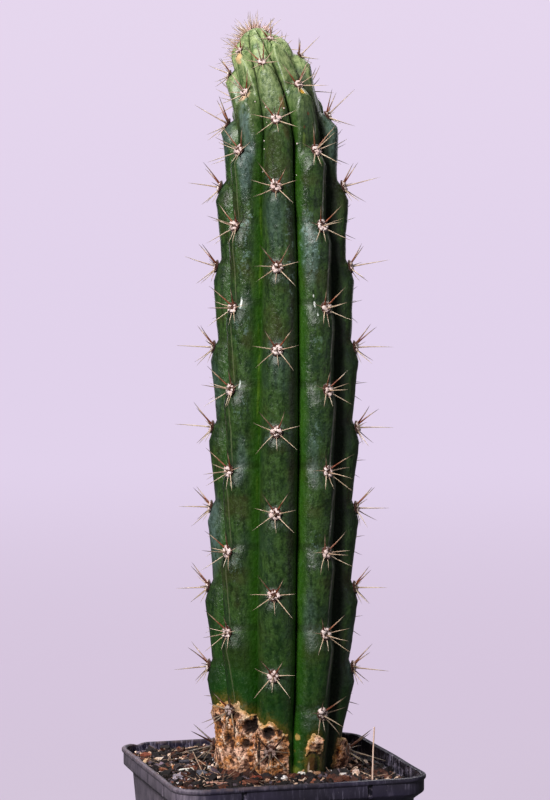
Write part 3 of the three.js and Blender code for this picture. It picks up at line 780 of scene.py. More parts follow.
def makeSpinePrototype():
    # A spine of unit length up +Z: swollen root, long taper, fine point.
    levels, girths = np.array(areole["girth"]).T
    obj = makeRod("spinePrototype", 6)
    cutLevels(obj, levels[1:-1])
    points = pointsOf(obj)
    points[:, :2] *= np.interp(points[:, 2], levels, girths)[:, None]
    setPoints(obj, points)
    return obj


def spineRow(rng, start, direction, length, thick, bend):
    aside, other = sidesOf(direction, [0.3, 0.2, 1.0])
    curve = (aside * rng.normal() + other * rng.normal()) * bend
    return start, [aside * thick, other * thick, direction * length], curve


def spineRows():
    rng = np.random.default_rng(areole["seed"])
    rows = []
    for rib, s, age in areolePlaces():
        middle, out, up, side = areoleFrame(rib, s)
        grown = 1 - (1 - areole["youngest"]) * smooth(areole["youngFrom"], stemForm["lastAreole"], s)
        central = [float(along(areole["centralRise"], float(s))), 0, *areole["central"]]
        for off, turn, length, thick, red in [central] + areole["spines"]:
            off = math.radians(off + rng.uniform(-1, 1) * areole["turnJitter"])
            turn = math.radians(turn + rng.uniform(-1, 1) * areole["turnJitter"])
            direction = unit(leaning(out, up, side, off, turn))
            root = middle + clockwise(up, side, turn) * math.sin(off) * areole["ring"]
            whole = length * grown * (1 + rng.uniform(-1, 1) * areole["lengthJitter"]) + areole["sunk"]
            redness = np.clip(red + rng.uniform(-1, 1) * areole["rednessJitter"], 0, 1)
            start = root - direction * areole["sunk"]
            steepest = (areole["clearOfSoil"] - start[2]) / whole
            if direction[2] < steepest:
                flat = unit(np.array([direction[0], direction[1], 0]))
                direction = flat * math.sqrt(1 - steepest ** 2) + np.array([0, 0, steepest])
            thick = thick * (0.7 + 0.3 * grown) * (1 + 0.3 * age)
            rows.append(spineRow(rng, start, direction, whole, thick, areole["bend"]) + ([redness, age],))
    return rows


def makeSpineFinish():
    look = Finish("spineHorn", Roughness=0.4, Specular_IOR_Level=0.5)
    rise, red, age = look.tone()
    streak = look.cloud(1.6, 3)
    pick = look.step(streak, 0.35, 0.65)
    rusty = look.blend((104, 44, 28), (150, 84, 56), pick)
    return look.done(Base_Color=look.layered(
        look.blend((186, 158, 128), (226, 206, 180), pick),
        (rusty, look.step(rise, 0.85, 0.35) * look.least(red * 1.1, 1)),
        ((52, 22, 14), look.step(rise, 0.24, 0.08) * 0.92),
        ((66, 46, 42), look.step(rise, 0.62, 0.92) * (red * 0.6 + 0.35)),
        ((30, 17, 13), age * (look.step(streak, 0.3, 0.55) * 0.4 + 0.52))))


spines = copies("spines", makeSpinePrototype(), spineRows())
finishPiece(spines, makeSpineFinish(), 60)


# Felt pads: a brown felt cushion, pinkish white woolly lumps round it and fine fuzz

wool = {
    "seed": 19,
    "cushion": [2.35, 1.0],  # radius and height
    "cushionSunk": 0.2,
    "lumps": 10,
    "lumpRing": 1.6,
    "lumpTurn": 0.3,
    "lumpReach": [0.45, 1.15],
    "lumpRise": [0.15, 0.5],
    "lumpSize": [0.8, 1.75],
    "lumpStretch": [0.8, 1.3],
    "hairs": 70,
    "hairReach": [0.2, 1.9],
    "hairSpread": 85,
    "hairLength": [0.7, 1.8],
    "hairThickness": 0.06,
    "hairVary": [0.7, 1.3],
    "youngShrink": 0.42,
    "youngSpan": [14, 19.5],
    "bulbs": [[3, 1, -1.1, 1.3, 1.2]],  # rib, place along, sideways, up, radius
    # white specks in the furrows: place around, place along, radius
    "specks": [[1.76, 16.4, 0.3], [1.7, 15.9, 0.22], [1.64, 15.3, 0.3], [1.66, 15.05, 0.24],
               [2.58, 15.2, 0.34], [1.35, 16.6, 0.26], [2.3, 16.3, 0.3], [1.6, 14.4, 0.2], [2.55, 14.3, 0.2]],
    # first, second and dark colours
    "cushionColours": ((66, 36, 26), (112, 70, 54), (28, 14, 10)),
    "lumpColours": ((214, 184, 178), (240, 222, 218), (150, 108, 100)),
    "hairColours": ((206, 182, 170), (234, 218, 208), (150, 112, 96)),
}


def spread(rng, out, up, side, widest):  # a random direction within some degrees of out
    off = math.radians(widest) * math.sqrt(rng.uniform(0, 1))
    turn = rng.uniform(0, 2 * math.pi)
    return leaning(out, up, side, off, turn), turn


def woolRows():
    rng = np.random.default_rng(wool["seed"])
    cushions, lumps, hairs = [], [], []
    radius, height = wool["cushion"]
    for rib, s, old in areolePlaces():
        middle, out, up, side = areoleFrame(rib, s)
        size = 1 - wool["youngShrink"] * smooth(*wool["youngSpan"], s)
        edges = [up * radius * 1.1 * size, side * radius * size, out * height * size]
        cushions.append((middle - out * wool["cushionSunk"], edges, noBend, [0, 0]))
        for k in range(wool["lumps"]):
            turn = k + 0.5 + rng.uniform(-wool["lumpTurn"], wool["lumpTurn"])
            turn = turn * 2 * math.pi / wool["lumps"]
            reach = wool["lumpRing"] * rng.uniform(*wool["lumpReach"]) * size
            big = rng.uniform(*wool["lumpSize"]) * size * 0.5
            place = middle + clockwise(up, side, turn) * reach + out * rng.uniform(*wool["lumpRise"])
            edges = [way * big * rng.uniform(*wool["lumpStretch"]) for way in (up, side)] + [out * big * 0.9]
            lumps.append((place, edges, noBend, [rng.uniform(0, 1), old]))
        for _ in range(wool["hairs"]):
            direction, turn = spread(rng, out, up, side, wool["hairSpread"])
            start = middle + clockwise(up, side, turn) * rng.uniform(*wool["hairReach"]) * size
            length = rng.uniform(*wool["hairLength"]) * size
            hairs.append(hairRow(rng, start, direction, length, wool["hairThickness"], old))
    for rib, s, aside, rise, radius in wool["bulbs"]:
        middle, out, up, side = areoleFrame(rib, s)
        place = middle + side * aside + up * rise + out * 0.6
        lumps.append((place, [up * radius, side * radius, out * radius], noBend, [0.9, 0]))
    for around, s, radius in wool["specks"]:
        lumps.append((skinPoint(around, s), np.eye(3) * radius, noBend, [1, 0]))
    return cushions, lumps, hairs


def hairRow(rng, start, direction, length, thickness, old):
    aside, other = sidesOf(direction, [0.2, 0.9, 0.4])
    thick = thickness * rng.uniform(*wool["hairVary"])
    return start, [aside * thick, other * thick, direction * length], noBend, [0.5, old]


def makeWoolFinish(name, colours):
    look = Finish(name, Roughness=0.95, Specular_IOR_Level=0.2, Sheen_Weight=0.3)
    curl = look.cloud(0.45, 4, 0.7)
    _, pick, old = look.tone()
    first, second, dark = colours
    body = look.layered(
        look.blend(first, second, look.step(curl + pick * 0.3, 0.45, 0.85)),
        (dark, look.step(curl, 0.45, 0.3) * 0.8),
        ((88, 60, 46), old * (look.step(curl + pick * 0.4, 0.3, 0.7) * 0.5 + 0.42)))
    return look.done(Base_Color=body, Normal=look.relief(curl, 0.25, 0.8))


def shake(obj, seed, jitter, ways):  # each point is moved at random, 1 way outwards or 3 ways
    points = pointsOf(obj)
    rng = np.random.default_rng(seed)
    setPoints(obj, points * (1 + rng.uniform(-jitter, jitter, (len(points), ways))))
    return obj


def makeBallPrototype(name, segments, rings, seed, jitter):
    bpy.ops.mesh.primitive_uv_sphere_add(segments=segments, ring_count=rings, radius=1)
    return shake(newest(name), seed, jitter, 1)


def makeHairPrototype():
    bpy.ops.mesh.primitive_cone_add(vertices=3, radius1=1, radius2=0, depth=1, location=(0, 0, 0.5))
    bpy.ops.object.transform_apply(location=True)
    return newest("hairPrototype")


cushions, lumps, hairs = woolRows()
# up, side and out are left-handed edges, which turn the balls inside out, so their faces are turned back
feltCushions = copies("feltCushions", makeBallPrototype("cushionPrototype", 11, 7, 3, 0.1), cushions)
editAll(feltCushions, facesOut)
finishPiece(feltCushions, makeWoolFinish("brownFelt", wool["cushionColours"]), 180)
woolLumps = copies("woolLumps", makeBallPrototype("lumpPrototype", 7, 5, 5, 0.24), lumps)
editAll(woolLumps, facesOut)
finishPiece(woolLumps, makeWoolFinish("pinkWool", wool["lumpColours"]), 180)
woolHairs = copies("woolHairs", makeHairPrototype(), hairs)
finishPiece(woolHairs, makeWoolFinish("fineFuzz", wool["hairColours"]), 60)


# Crown: the growing point, a whorl of young spines in brown and pinkish fuzz

crown = {
    "seed": 23,
    "middle": [-1.6, 2.4],  # right and away from the camera, from the stem's own middle
    "pastLastAreole": 2.9,
    "domeDrop": 0.075,
    "spines": 230,
    "bareFront": 2.2,  # nothing grows further than this toward the camera
    "length": [3.0, 8.6],
    "spread": [10, 66],
    "ring": [0.4, 9.2],
    "offJitter": 8,
    "turnJitter": 0.5,
    "thickness": 0.42,
    "thicknessVary": [0.75, 1.2],
    "bend": 0.4,
    "sunk": 0.5,
    "reddest": 0.65,
    "fuzz": 900,
    "fuzzReach": 7.5,
    "fuzzSpread": 80,
    "fuzzSunk": 0.2,
    "fuzzLength": [1.2, 3.8],
    "fuzzThickness": 0.12,
    "fuzzColours": ((222, 172, 160), (248, 218, 212), (160, 104, 92)),
}


def crownFrame():
    x, y, z, tiltX, tiltY = axisAt(stemForm["lastAreole"] + crown["pastLastAreole"])
    out = unit(np.array([tiltX, tiltY, 1]))
    side = unit(np.cross(out, [0, 1, 0]))
    return np.array([x, y, z]), out, np.cross(side, out), side


def crownGround(reach, turn):
    # A place on the dome round the growing point, the way it faces, and whether it is in the bare front.
    middle, out, up, side = crownFrame()
    aside = np.array([*fromCamera(*crown["middle"]), 0]) + clockwise(up, side, turn) * reach
    aside -= out * np.dot(aside, out)
    place = middle + aside - out * (np.dot(aside, aside) * crown["domeDrop"])
    x, y = (place - middle)[:2]
    angle = math.radians(stemForm["sidewaysAngle"])
    bare = x * math.sin(angle) - y * math.cos(angle) > crown["bareFront"] - crown["middle"][1]
    return place, unit(out + aside * 2 * crown["domeDrop"]), bare


def crownRows():
    rng = np.random.default_rng(crown["seed"])
    _, out, up, side = crownFrame()
    rows, hairs = [], []
    for _ in range(crown["spines"]):
        turn = rng.uniform(0, 2 * math.pi)
        share = rng.uniform(0, 1)
        reach, off = [low + (high - low) * share for low, high in (crown["ring"], crown["spread"])]
        off = math.radians(off + rng.uniform(-crown["offJitter"], crown["offJitter"]))
        aside = turn + rng.uniform(-crown["turnJitter"], crown["turnJitter"])
        start, facing, bare = crownGround(reach, turn)
        if not bare:
            direction = unit(leaning(facing, up, side, off, aside))
            length = rng.uniform(*crown["length"])
            thick = crown["thickness"] * rng.uniform(*crown["thicknessVary"])
            start = start - direction * crown["sunk"]
            row = spineRow(rng, start, direction, length, thick, crown["bend"])
            rows.append(row + ([rng.uniform(0, crown["reddest"]), 0],))
    for _ in range(crown["fuzz"]):
        turn = rng.uniform(0, 2 * math.pi)
        reach = crown["fuzzReach"] * math.sqrt(rng.uniform(0, 1))
        start, facing, bare = crownGround(reach, turn)
        if not bare:
            direction = unit(facing + spread(rng, out, up, side, crown["fuzzSpread"])[0])
            length = rng.uniform(*crown["fuzzLength"])
            start = start - direction * crown["fuzzSunk"]
            hairs.append(hairRow(rng, start, direction, length, crown["fuzzThickness"], 0))
    return rows, hairs


crownSpineRows, crownHairs = crownRows()
crownSpines = copies("crownSpines", makeSpinePrototype(), crownSpineRows)
finishPiece(crownSpines, makeSpineFinish(), 60)
crownFuzz = copies("crownFuzz", makeHairPrototype(), crownHairs)
finishPiece(crownFuzz, makeWoolFinish("brownFuzz", crown["fuzzColours"]), 60)


# Pot: an outline with round corners drawn up through its profile, then in and down again

pot = {
    "side": 100,
    "height": 100,
    "baseSide": 78,
    "wall": 1.2,
    "floor": 2.6,
    "lipBand": 6.4,
    "lipChamfer": 3.2,
    "lipStand": 3.2,
    "bead": 0.6,
    "beadHeight": 1.6,
    "cornerRadius": 9,
    "cornerSteps": 10,
    "sideSteps": 12,
    "wallFrom": 0.9,
    "wallLevels": 8,
    "footBevel": 0.8,
    "holeRadius": 4,
    "holeSides": 32,
    "holeTool": 12,  # the cutting cylinder's whole height
    "holesFromMiddle": [19, 31],
    "channelWidth": 20,
    "channelLength": 90,
    "channelDepth": 1.4,
    "bossRadius": 11,
    "bossSides": 48,
    "bossTool": 20,
    "notchFromMiddle": 24.5,
    "notchWidth": 2.0,
    "notchDepth": 0.9,
    "notchHeight": 5.4,
    "notchUnderBand": 0.6,
    "nick": [-41.5, 1.8, 0.9],  # place along the back rim, half width, depth
    # shallow waves round the rim, which is never quite true: height, number, start
    "rimWaves": [[0.28, 3, 0.6], [0.18, 7, 2.1]],
    "wavesUp": 0.35,
    "wavesOut": 0.25,
}
lipHalf = pot["side"] / 2 - pot["bead"]
bandHeight = pot["height"] - pot["lipBand"]
ledgeHeight = bandHeight - pot["lipChamfer"]
footHalf = pot["baseSide"] / 2 - pot["footBevel"]


def potProfile():
    # Half widths and heights, up the outside and down the inside.
    wallTop = lipHalf - pot["lipStand"]
    base = pot["baseSide"] / 2
    levels = pot["wallLevels"]
    foot = pot["wallFrom"]
    wall = [(base + (wallTop - base) * k / levels, foot + (ledgeHeight - foot) * k / levels)
            for k in range(levels + 1)]
    top = pot["height"]
    beadFoot = top - pot["beadHeight"]
    beadHalf = lipHalf + pot["bead"]
    outside = [(base - 0.3, 0.25)] + wall + [
        (lipHalf - 0.15, bandHeight - 0.2), (lipHalf, bandHeight + 0.3),
        (lipHalf, (bandHeight + beadFoot) / 2), (lipHalf, beadFoot - 0.5),
        (lipHalf + 0.45, beadFoot), (beadHalf, beadFoot + 0.4),
        (beadHalf, top - 0.5), (beadHalf - 0.2, top - 0.12), (beadHalf - 0.5, top)]
    thick = pot["wall"]
    inside = [(lipHalf - thick + 0.25, top), (lipHalf - thick, top - 0.3),
              (lipHalf - thick, bandHeight + 0.5), (wallTop - thick, ledgeHeight + 0.5),
              (base - thick, pot["floor"] + 0.3), (base - thick - 0.4, pot["floor"])]
    return outside + inside


def quarter(turns, x, y):  # a place turned round the pot's middle by some quarter turns
    c, s = math.cos(turns * math.pi / 2), math.sin(turns * math.pi / 2)
    return x * c - y * s, x * s + y * c


def potOutline(half, radius):  # points round a square with round corners
    core = half - radius
    points = []
    for corner in range(4):
        for k in range(pot["cornerSteps"] + 1):
            turn = k / pot["cornerSteps"] * math.pi / 2
            x, y = core + radius * math.cos(turn), core + radius * math.sin(turn)
            points.append([*quarter(corner, x, y), 0])
        for k in range(1, pot["sideSteps"]):
            points.append([*quarter(corner, core - 2 * core * k / pot["sideSteps"], half), 0])
    return np.array(points)


def makePotBody():
    outline = potOutline(footHalf, pot["cornerRadius"])
    bpy.ops.mesh.primitive_circle_add(vertices=len(outline), radius=footHalf, fill_type="NGON")
    obj = newest("potBody")
    setPoints(obj, outline)

    def drawWalls():
        size, level = footHalf, 0.0
        for half, height in potProfile():
            drawRing(bpy.ops.mesh.extrude_region_move, height - level, half / size)
            size, level = half, height

    editAll(obj, drawWalls, selectAll, facesOut)
    setPoints(obj, pointsOf(obj) * mm)
    return obj


def roundedReach(angle, half, radius):  # from the middle to a rounded square's edge
    c, s = np.abs(np.cos(angle)), np.abs(np.sin(angle))
    straight = half / np.maximum(c, s)
    core = half - radius
    toCorner = core * (c + s)
    curved = toCorner + np.sqrt(np.maximum(toCorner ** 2 - 2 * core ** 2 + radius ** 2, 0))
    return np.where(straight * np.minimum(c, s) <= core, straight, curved)


def boolean(obj, tool, operation="DIFFERENCE"):
    makeActive(obj)
    change = obj.modifiers.new("change", "BOOLEAN")
    change.operation = operation
    change.solver = "EXACT"
    change.object = tool
    bpy.ops.object.modifier_apply(modifier="change")
    removeObject(tool)


def joinTools(tools, name):
    makeActive(*tools)
    bpy.ops.object.join()
    bpy.ops.object.transform_apply(location=True, rotation=True, scale=True)
    return newest(name)


def drainTool():
    holes = []
    for arm in range(4):
        for reach in pot["holesFromMiddle"]:
            bpy.ops.mesh.primitive_cylinder_add(vertices=pot["holeSides"], radius=pot["holeRadius"] * mm,
                                                depth=pot["holeTool"] * mm,
                                                location=(*quarter(arm, reach * mm, 0), 0))
            holes.append(newest("drainHole"))
    return joinTools(holes, "drainHoles")


def notchTool():
    notches = []
    size = [v * mm for v in (pot["notchWidth"], 2 * pot["notchDepth"], pot["notchHeight"])]
    for side in range(4):
        for hand in (-1, 1):
            x, y = quarter(side, hand * pot["notchFromMiddle"], lipHalf)
            z = bandHeight - pot["notchUnderBand"] + pot["notchHeight"] / 2
            bpy.ops.mesh.primitive_cube_add(size=1, location=(x * mm, y * mm, z * mm),
                                            rotation=(0, 0, side * math.pi / 2), scale=size)
            notches.append(newest("notch"))
    return joinTools(notches, "stackNotches")


def channelTool():
    long, wide, deep = [v * mm for v in (pot["channelLength"], pot["channelWidth"], 2 * pot["channelDepth"])]
    arms = []
    for size in ((long, wide, deep), (wide, long, deep)):
        bpy.ops.mesh.primitive_cube_add(size=1, scale=size)
        bpy.ops.object.transform_apply(scale=True)
        arms.append(newest("drainChannel"))
    cross = arms[0]
    boolean(cross, arms[1], "UNION")
    bpy.ops.mesh.primitive_cylinder_add(vertices=pot["bossSides"], radius=pot["bossRadius"] * mm,
                                        depth=pot["bossTool"] * mm)
    boolean(cross, newest("boss"))
    return cross


def warpRim(obj):
    points = pointsOf(obj) / mm
    x, y, z = points.T.copy()
    high = smooth(80, 100, z)
    turn = np.arctan2(y, x)
    bow = sum(height * np.sin(number * turn + start) for height, number, start in pot["rimWaves"])
    points[:, 2] += high * bow * pot["wavesUp"]
    outward = points[:, :2] / np.maximum(np.hypot(x, y), 1)[:, None]
    points[:, :2] += outward * (high * bow * pot["wavesOut"])[:, None]
    place, wide, deep = pot["nick"]
    bitten = np.exp(-((points[:, 0] - place) / wide) ** 2)
    bitten *= smooth(46, 48, points[:, 1]) * smooth(97, 99.5, points[:, 2])
    points[:, 2] -= deep * bitten
    setPoints(obj, points * mm)


def makePotFinish():
    look = Finish("dustyBlackPlastic", Specular_IOR_Level=0.5)
    x, y, z = look.parts(look.place())
    # the wall's middle between its inside and outside, measured out from the straight sides' ends
    core = lipHalf * (1 - pot["cornerRadius"] / footHalf)
    overX, overY = look.most(abs(x) - core, 0), look.most(abs(y) - core, 0)
    reach = look.maths("SQRT", overX * overX + overY * overY)
    rise = look.least(look.most(z - (ledgeHeight + 0.25), 0), pot["lipChamfer"])
    middle = rise + (lipHalf - pot["lipStand"] - pot["wall"] / 2 - core)
    inner = look.step(reach - middle, 0.2, -0.2) * look.step(z, 89, 90.5)
    outer = 1 - inner
    lip = look.step(z, 90.2, 91)
    edge = look.step(z, 98.7, 99.7)
    clean = edge * look.step(x, -20, 15)
    leftFace = look.step(x + look.most(abs(x), abs(y)), 14, 0.5)
    streaks = look.cloud(0.9, 5, 0.72, upright=0.09)
    gaps = look.cloud(5.5, 3)
    streaky = look.step(streaks, 0.5, 0.68) * look.step(gaps, 0.36, 0.58)
    film = look.step(look.cloud(24, 4, 0.62), 0.36, 0.7)
    worn = look.step(streaks, 0.3, 0.62) * 0.55 + look.step(gaps, 0.4, 0.62) * 0.2 + 0.1
    residue = look.step(look.cloud(3.2, 5, 0.7), 0.52, 0.66)
    brownish = look.step(look.cloud(4.5, 4), 0.4, 0.62) * look.step(x, 15, -35)
    specks = look.step(look.cells(1.6), 0.11, 0.05) * look.step(look.cloud(7, 3), 0.5, 0.62)
    body = look.layered(
        look.blend((20, 18, 31), (40, 35, 57), look.step(look.cloud(18, 3), 0.35, 0.65)),
        ((9, 9, 16), inner * look.step(x, 10, 30) * 0.85),
        ((140, 132, 158), streaky * (inner * 0.85 + lip * 0.2 + 0.14)),
        # dust lies thicker on the walls under the lip; the left face is paler still, from dust and painted
        # light from the left
        ((98, 90, 108), (film * 0.16 + 0.16) * (1 - lip * 0.45) * outer * (1 - clean * 0.8)),
        ((140, 128, 142), leftFace * outer * worn),
        ((150, 140, 158), residue * inner * look.step(streaks, 0.38, 0.52) * 0.8),
        ((104, 84, 84), edge * brownish * 0.5),
        ((150, 140, 142), specks * 0.4))
    roughness = 0.36 + streaky * 0.16 + film * 0.2 * (1 - lip * 0.7) + (edge - clean) * 0.3 - clean * 0.06
    scratches = look.cloud(0.35, 2, upright=0.03)
    grain = look.cloud(0.4, 2)
    return look.done(Base_Color=body, Roughness=roughness,
                     Normal=look.relief(scratches * 0.5 + grain * 0.5, 0.05, 0.5))


potBody = makePotBody()
for makeTool in (channelTool, drainTool, notchTool):
    boolean(potBody, makeTool())
warpRim(potBody)
finishPiece(potBody, makePotFinish(), 32, replaced="pot")


# Soil: a bed that fills the pot, with crumbs, bark, grit and litter on it

soil = {
    "topHeight": 98.1,
    "rightFall": 6.2,
    "rightBank": 2.2,
    "backFall": 1.5,
    "under": 0.5,  # the bed lies this far under the height that the pieces on it go by
    "cells": 170,
    "lumps": [[0.55, 4.5, 5], [0.4, 1.5, 7]],  # height, size, seed
    "fromWall": 0.45,
    "levels": [90.9, 40, 3.1],  # where its side is drawn in to the wall, down to its bottom
    "topCorner": 10.6,
    "sideCorner": 8,
    "reach": 47,
    "stemGirth": 24.5,
    "seed": 41,
    "looseCorner": 10.4,
    "looseFromWall": 0.5,
    "looseReach": 0.62,  # how far a piece reaches, for its length
    "looseLift": [0.5, 0.6],  # how high it lies at most, for its size and besides
    "looseTilt": 0.5,
    "looseSkew": 0.4,
    "driftSize": 8,
    "driftEdge": 0.04,
    # light, middle and dark colours
    # the bed is near black: dark soil, with painted shade for the gaps between the pieces
    "bedColours": ((16, 11, 10), (34, 22, 18), (6, 5, 5)),
    "grains": [
        {"name": "darkCrumbs", "shape": "crumb", "count": 2300, "size": [0.7, 2.0], "long": [1, 1.5],
         "flat": [0.6, 1], "colours": ((11, 7, 7), (38, 23, 19), (4, 3, 3))},
        {"name": "blackBark", "shape": "chip", "count": 460, "size": [1.2, 3.2], "long": [1, 1.8],
         "flat": [0.5, 0.9], "colours": ((18, 14, 15), (42, 34, 36), (7, 5, 7))},
        {"name": "brownBark", "shape": "chip", "count": 460, "size": [1.0, 3.0], "long": [1.1, 2.4],
         "flat": [0.3, 0.7], "colours": ((42, 22, 18), (104, 58, 42), (14, 8, 7))},
        {"name": "rustyBark", "shape": "chip", "count": 150, "size": [0.9, 2.6], "long": [1.2, 2.4],
         "flat": [0.3, 0.7], "colours": ((104, 56, 42), (166, 104, 78), (42, 22, 18))},
        {"name": "tanChips", "shape": "chip", "count": 1100, "size": [0.6, 2.1], "long": [1.2, 3.4],
         "flat": [0.25, 0.6], "drift": 4, "colours": ((186, 136, 108), (254, 226, 204), (84, 50, 38))},
        {"name": "paleGrit", "shape": "crumb", "count": 1100, "size": [0.5, 1.6], "long": [1, 1.6],
         "flat": [0.6, 1], "drift": 9, "colours": ((216, 202, 202), (255, 250, 250), (134, 118, 122))},
        {"name": "mauveGrit", "shape": "crumb", "count": 500, "size": [0.7, 2.2], "long": [1, 1.7],
         "flat": [0.5, 1], "colours": ((54, 44, 52), (132, 114, 126), (26, 20, 25))},
    ],
}


def soilHeight(x, y):
    fall = soil["rightFall"] * smooth(14, 46, x) + soil["backFall"] * smooth(-5, 45, y)
    return soil["topHeight"] - fall + soil["rightBank"] * smooth(39, 46, x)


def aboveSoil(x, y, lift):
    return np.array([x, y, float(soilHeight(x, y)) - soil["under"] + lift])


def insideHalf(z):
    inner = lipHalf - pot["wall"]
    ledge = ledgeHeight + 0.5
    heights = [0, ledge, ledge + pot["lipChamfer"], pot["height"]]
    return np.interp(z, heights, [pot["baseSide"] / 2 - pot["wall"], inner - pot["lipStand"], inner, inner])


def bedSurface(x, y):
    points = np.column_stack([x, y, np.zeros(len(x))])
    return soilHeight(x, y) + addedRipples(points, soil["lumps"]) - soil["under"]


def makeSoilBed():
    cells = soil["cells"]
    bpy.ops.mesh.primitive_grid_add(x_subdivisions=cells, y_subdivisions=cells, size=2)
    obj = newest("soilBed")
    x, y, _ = pointsOf(obj).T
    angle = np.arctan2(y, x)
    half = insideHalf(soilHeight(x * soil["reach"], y * soil["reach"])) - soil["fromWall"]
    reach = roundedReach(angle, half, soil["topCorner"]) * np.maximum(np.abs(x), np.abs(y))
    x, y = reach * np.cos(angle), reach * np.sin(angle)
    setPoints(obj, np.column_stack([x, y, bedSurface(x, y)]) * mm)
    for level in soil["levels"]:
        drawDown(obj, level)
    editAll(obj, fillHoles, selectAll, facesOut)
    return obj


def drawDown(obj, level):
    # The open rim is drawn down to a level and in to the pot's inner wall.
    editAll(obj, edgeMode, lambda: bpy.ops.mesh.select_all(action="DESELECT"),
            lambda: bpy.ops.mesh.select_non_manifold(extend=False, use_wire=False, use_boundary=True,
                                                     use_multi_face=False, use_non_contiguous=False,
                                                     use_verts=False),
            lambda: bpy.ops.mesh.extrude_edges_move(TRANSFORM_OT_translate={"value": (0, 0, 0)}))
    chosen = np.empty(len(obj.data.vertices), dtype=bool)
    obj.data.vertices.foreach_get("select", chosen)
    points = pointsOf(obj) / mm
    angle = np.arctan2(points[chosen, 1], points[chosen, 0])
    reach = roundedReach(angle, float(insideHalf(level)) - soil["fromWall"], soil["sideCorner"])
    x, y = reach * np.cos(angle), reach * np.sin(angle)
    points[chosen] = np.column_stack([x, y, np.full(len(reach), level)])
    setPoints(obj, points * mm)


def makeSoilFinish(name, colours, toned=False):
    look = Finish(name, Roughness=0.85, Specular_IOR_Level=0.35)
    broad = look.cloud(2.2, 4, 0.65)
    fine = look.cloud(0.5, 4, 0.7)
    pick = look.step(broad, 0.36, 0.64)
    if toned:  # each piece has its own shade
        pick = look.least(look.tone()[1] * 0.8 + pick * 0.3, 1)
    first, second, dark = colours
    body = look.layered(look.blend(first, second, pick), (dark, look.step(fine, 0.56, 0.36) * 0.8))
    return look.done(Base_Color=body, Normal=look.relief(broad * 0.4 + fine * 0.6, 0.35, 0.9))


def makeCrumb(name, seed):  # a rounded crumb
    bpy.ops.mesh.primitive_uv_sphere_add(segments=6, ring_count=4, radius=0.54)
    return shake(newest(name), seed, 0.26, 3)


def makeChip(name, seed):  # a broken chip with blunt corners
    bpy.ops.mesh.primitive_cube_add(size=0.9)
    obj = newest(name)
    editAll(obj, lambda: bpy.ops.mesh.subdivide(number_cuts=1, smoothness=0.35),
            bpy.ops.mesh.quads_convert_to_tris)
    return shake(obj, seed, 0.3, 3)


def grainEdges(rng, sizes, longs, flats):
    # Three edges for each piece, a little out of square so that no two look alike.
    count = len(sizes)
    turns = rng.uniform(0, 2 * math.pi, count)
    pitches, rolls = rng.normal(0, soil["looseTilt"], (2, count))
    skews = rng.uniform(-soil["looseSkew"], soil["looseSkew"], (2, count)).T
    for size, long, flat, turn, pitch, roll, skew in zip(sizes, longs, flats, turns, pitches, rolls, skews):
        forward = unit(np.array([math.cos(turn), math.sin(turn), math.sin(pitch)]))
        aside = unit(np.array([-math.sin(turn), math.cos(turn), math.sin(roll)]))
        top = np.cross(forward, aside) + aside * skew[1]
        yield [forward * size * long, (aside + forward * skew[0]) * size, top * size * flat]


def scatterPlaces(rng, reaches):
    # Random places on the bed for pieces that reach this far, clear of the wall and the stem.
    found = np.empty((len(reaches), 2))
    waiting = np.ones(len(reaches), dtype=bool)
    foot = np.array(axisAt(0.0)[:2])
    while waiting.any():
        tries = rng.uniform(-soil["reach"], soil["reach"], (waiting.sum(), 2))
        angle = np.arctan2(tries[:, 1], tries[:, 0])
        half = insideHalf(soilHeight(tries[:, 0], tries[:, 1])) - soil["looseFromWall"] - reaches[waiting]
        inside = np.hypot(tries[:, 0], tries[:, 1]) < roundedReach(angle, half, soil["looseCorner"])
        inside &= np.hypot(*(tries - foot).T) > soil["stemGirth"]
        placed = np.flatnonzero(waiting)[inside]
        found[placed] = tries[inside]
        waiting[placed] = False
    return found


def makeGrains(kind, seed):
    rng = np.random.default_rng(seed)
    makePrototype = makeChip if kind["shape"] == "chip" else makeCrumb
    prototype = makePrototype(kind["name"] + "Prototype", seed)
    count = kind["count"]
    low, high = kind["size"]
    sizes = low + (high - low) * rng.uniform(0, 1, count) ** 2
    longs = rng.uniform(*kind["long"], count)
    places = scatterPlaces(rng, sizes * longs * soil["looseReach"])
    if "drift" in kind:  # these lie in drifts
        ground = np.column_stack([places, np.zeros(count)])
        kept = ripples(ground, soil["driftSize"], kind["drift"]) > soil["driftEdge"]
        places, sizes, longs, count = places[kept], sizes[kept], longs[kept], kept.sum()
    share, extra = soil["looseLift"]
    lifts = sizes * rng.uniform(0, share, count), rng.uniform(0, extra, count)
    centres = np.column_stack([places, bedSurface(*places.T) + lifts[0] + lifts[1]])
    edges = list(grainEdges(rng, sizes, longs, rng.uniform(*kind["flat"], count)))
    tones = np.column_stack([rng.uniform(0, 1, count), np.zeros(count)])
    rows = zip(centres, edges, [noBend] * count, tones)
    finish = makeSoilFinish(kind["name"] + "Finish", kind["colours"], toned=True)
    finishPiece(copies(kind["name"], prototype, rows), finish, 30)


finishPiece(makeSoilBed(), makeSoilFinish("darkMix", soil["bedColours"]), 180, replaced="soil")
for number, kind in enumerate(soil["grains"]):
    makeGrains(kind, soil["seed"] + number)


# Litter: the pieces that stand out on the soil, and fallen spines, roots and fibres

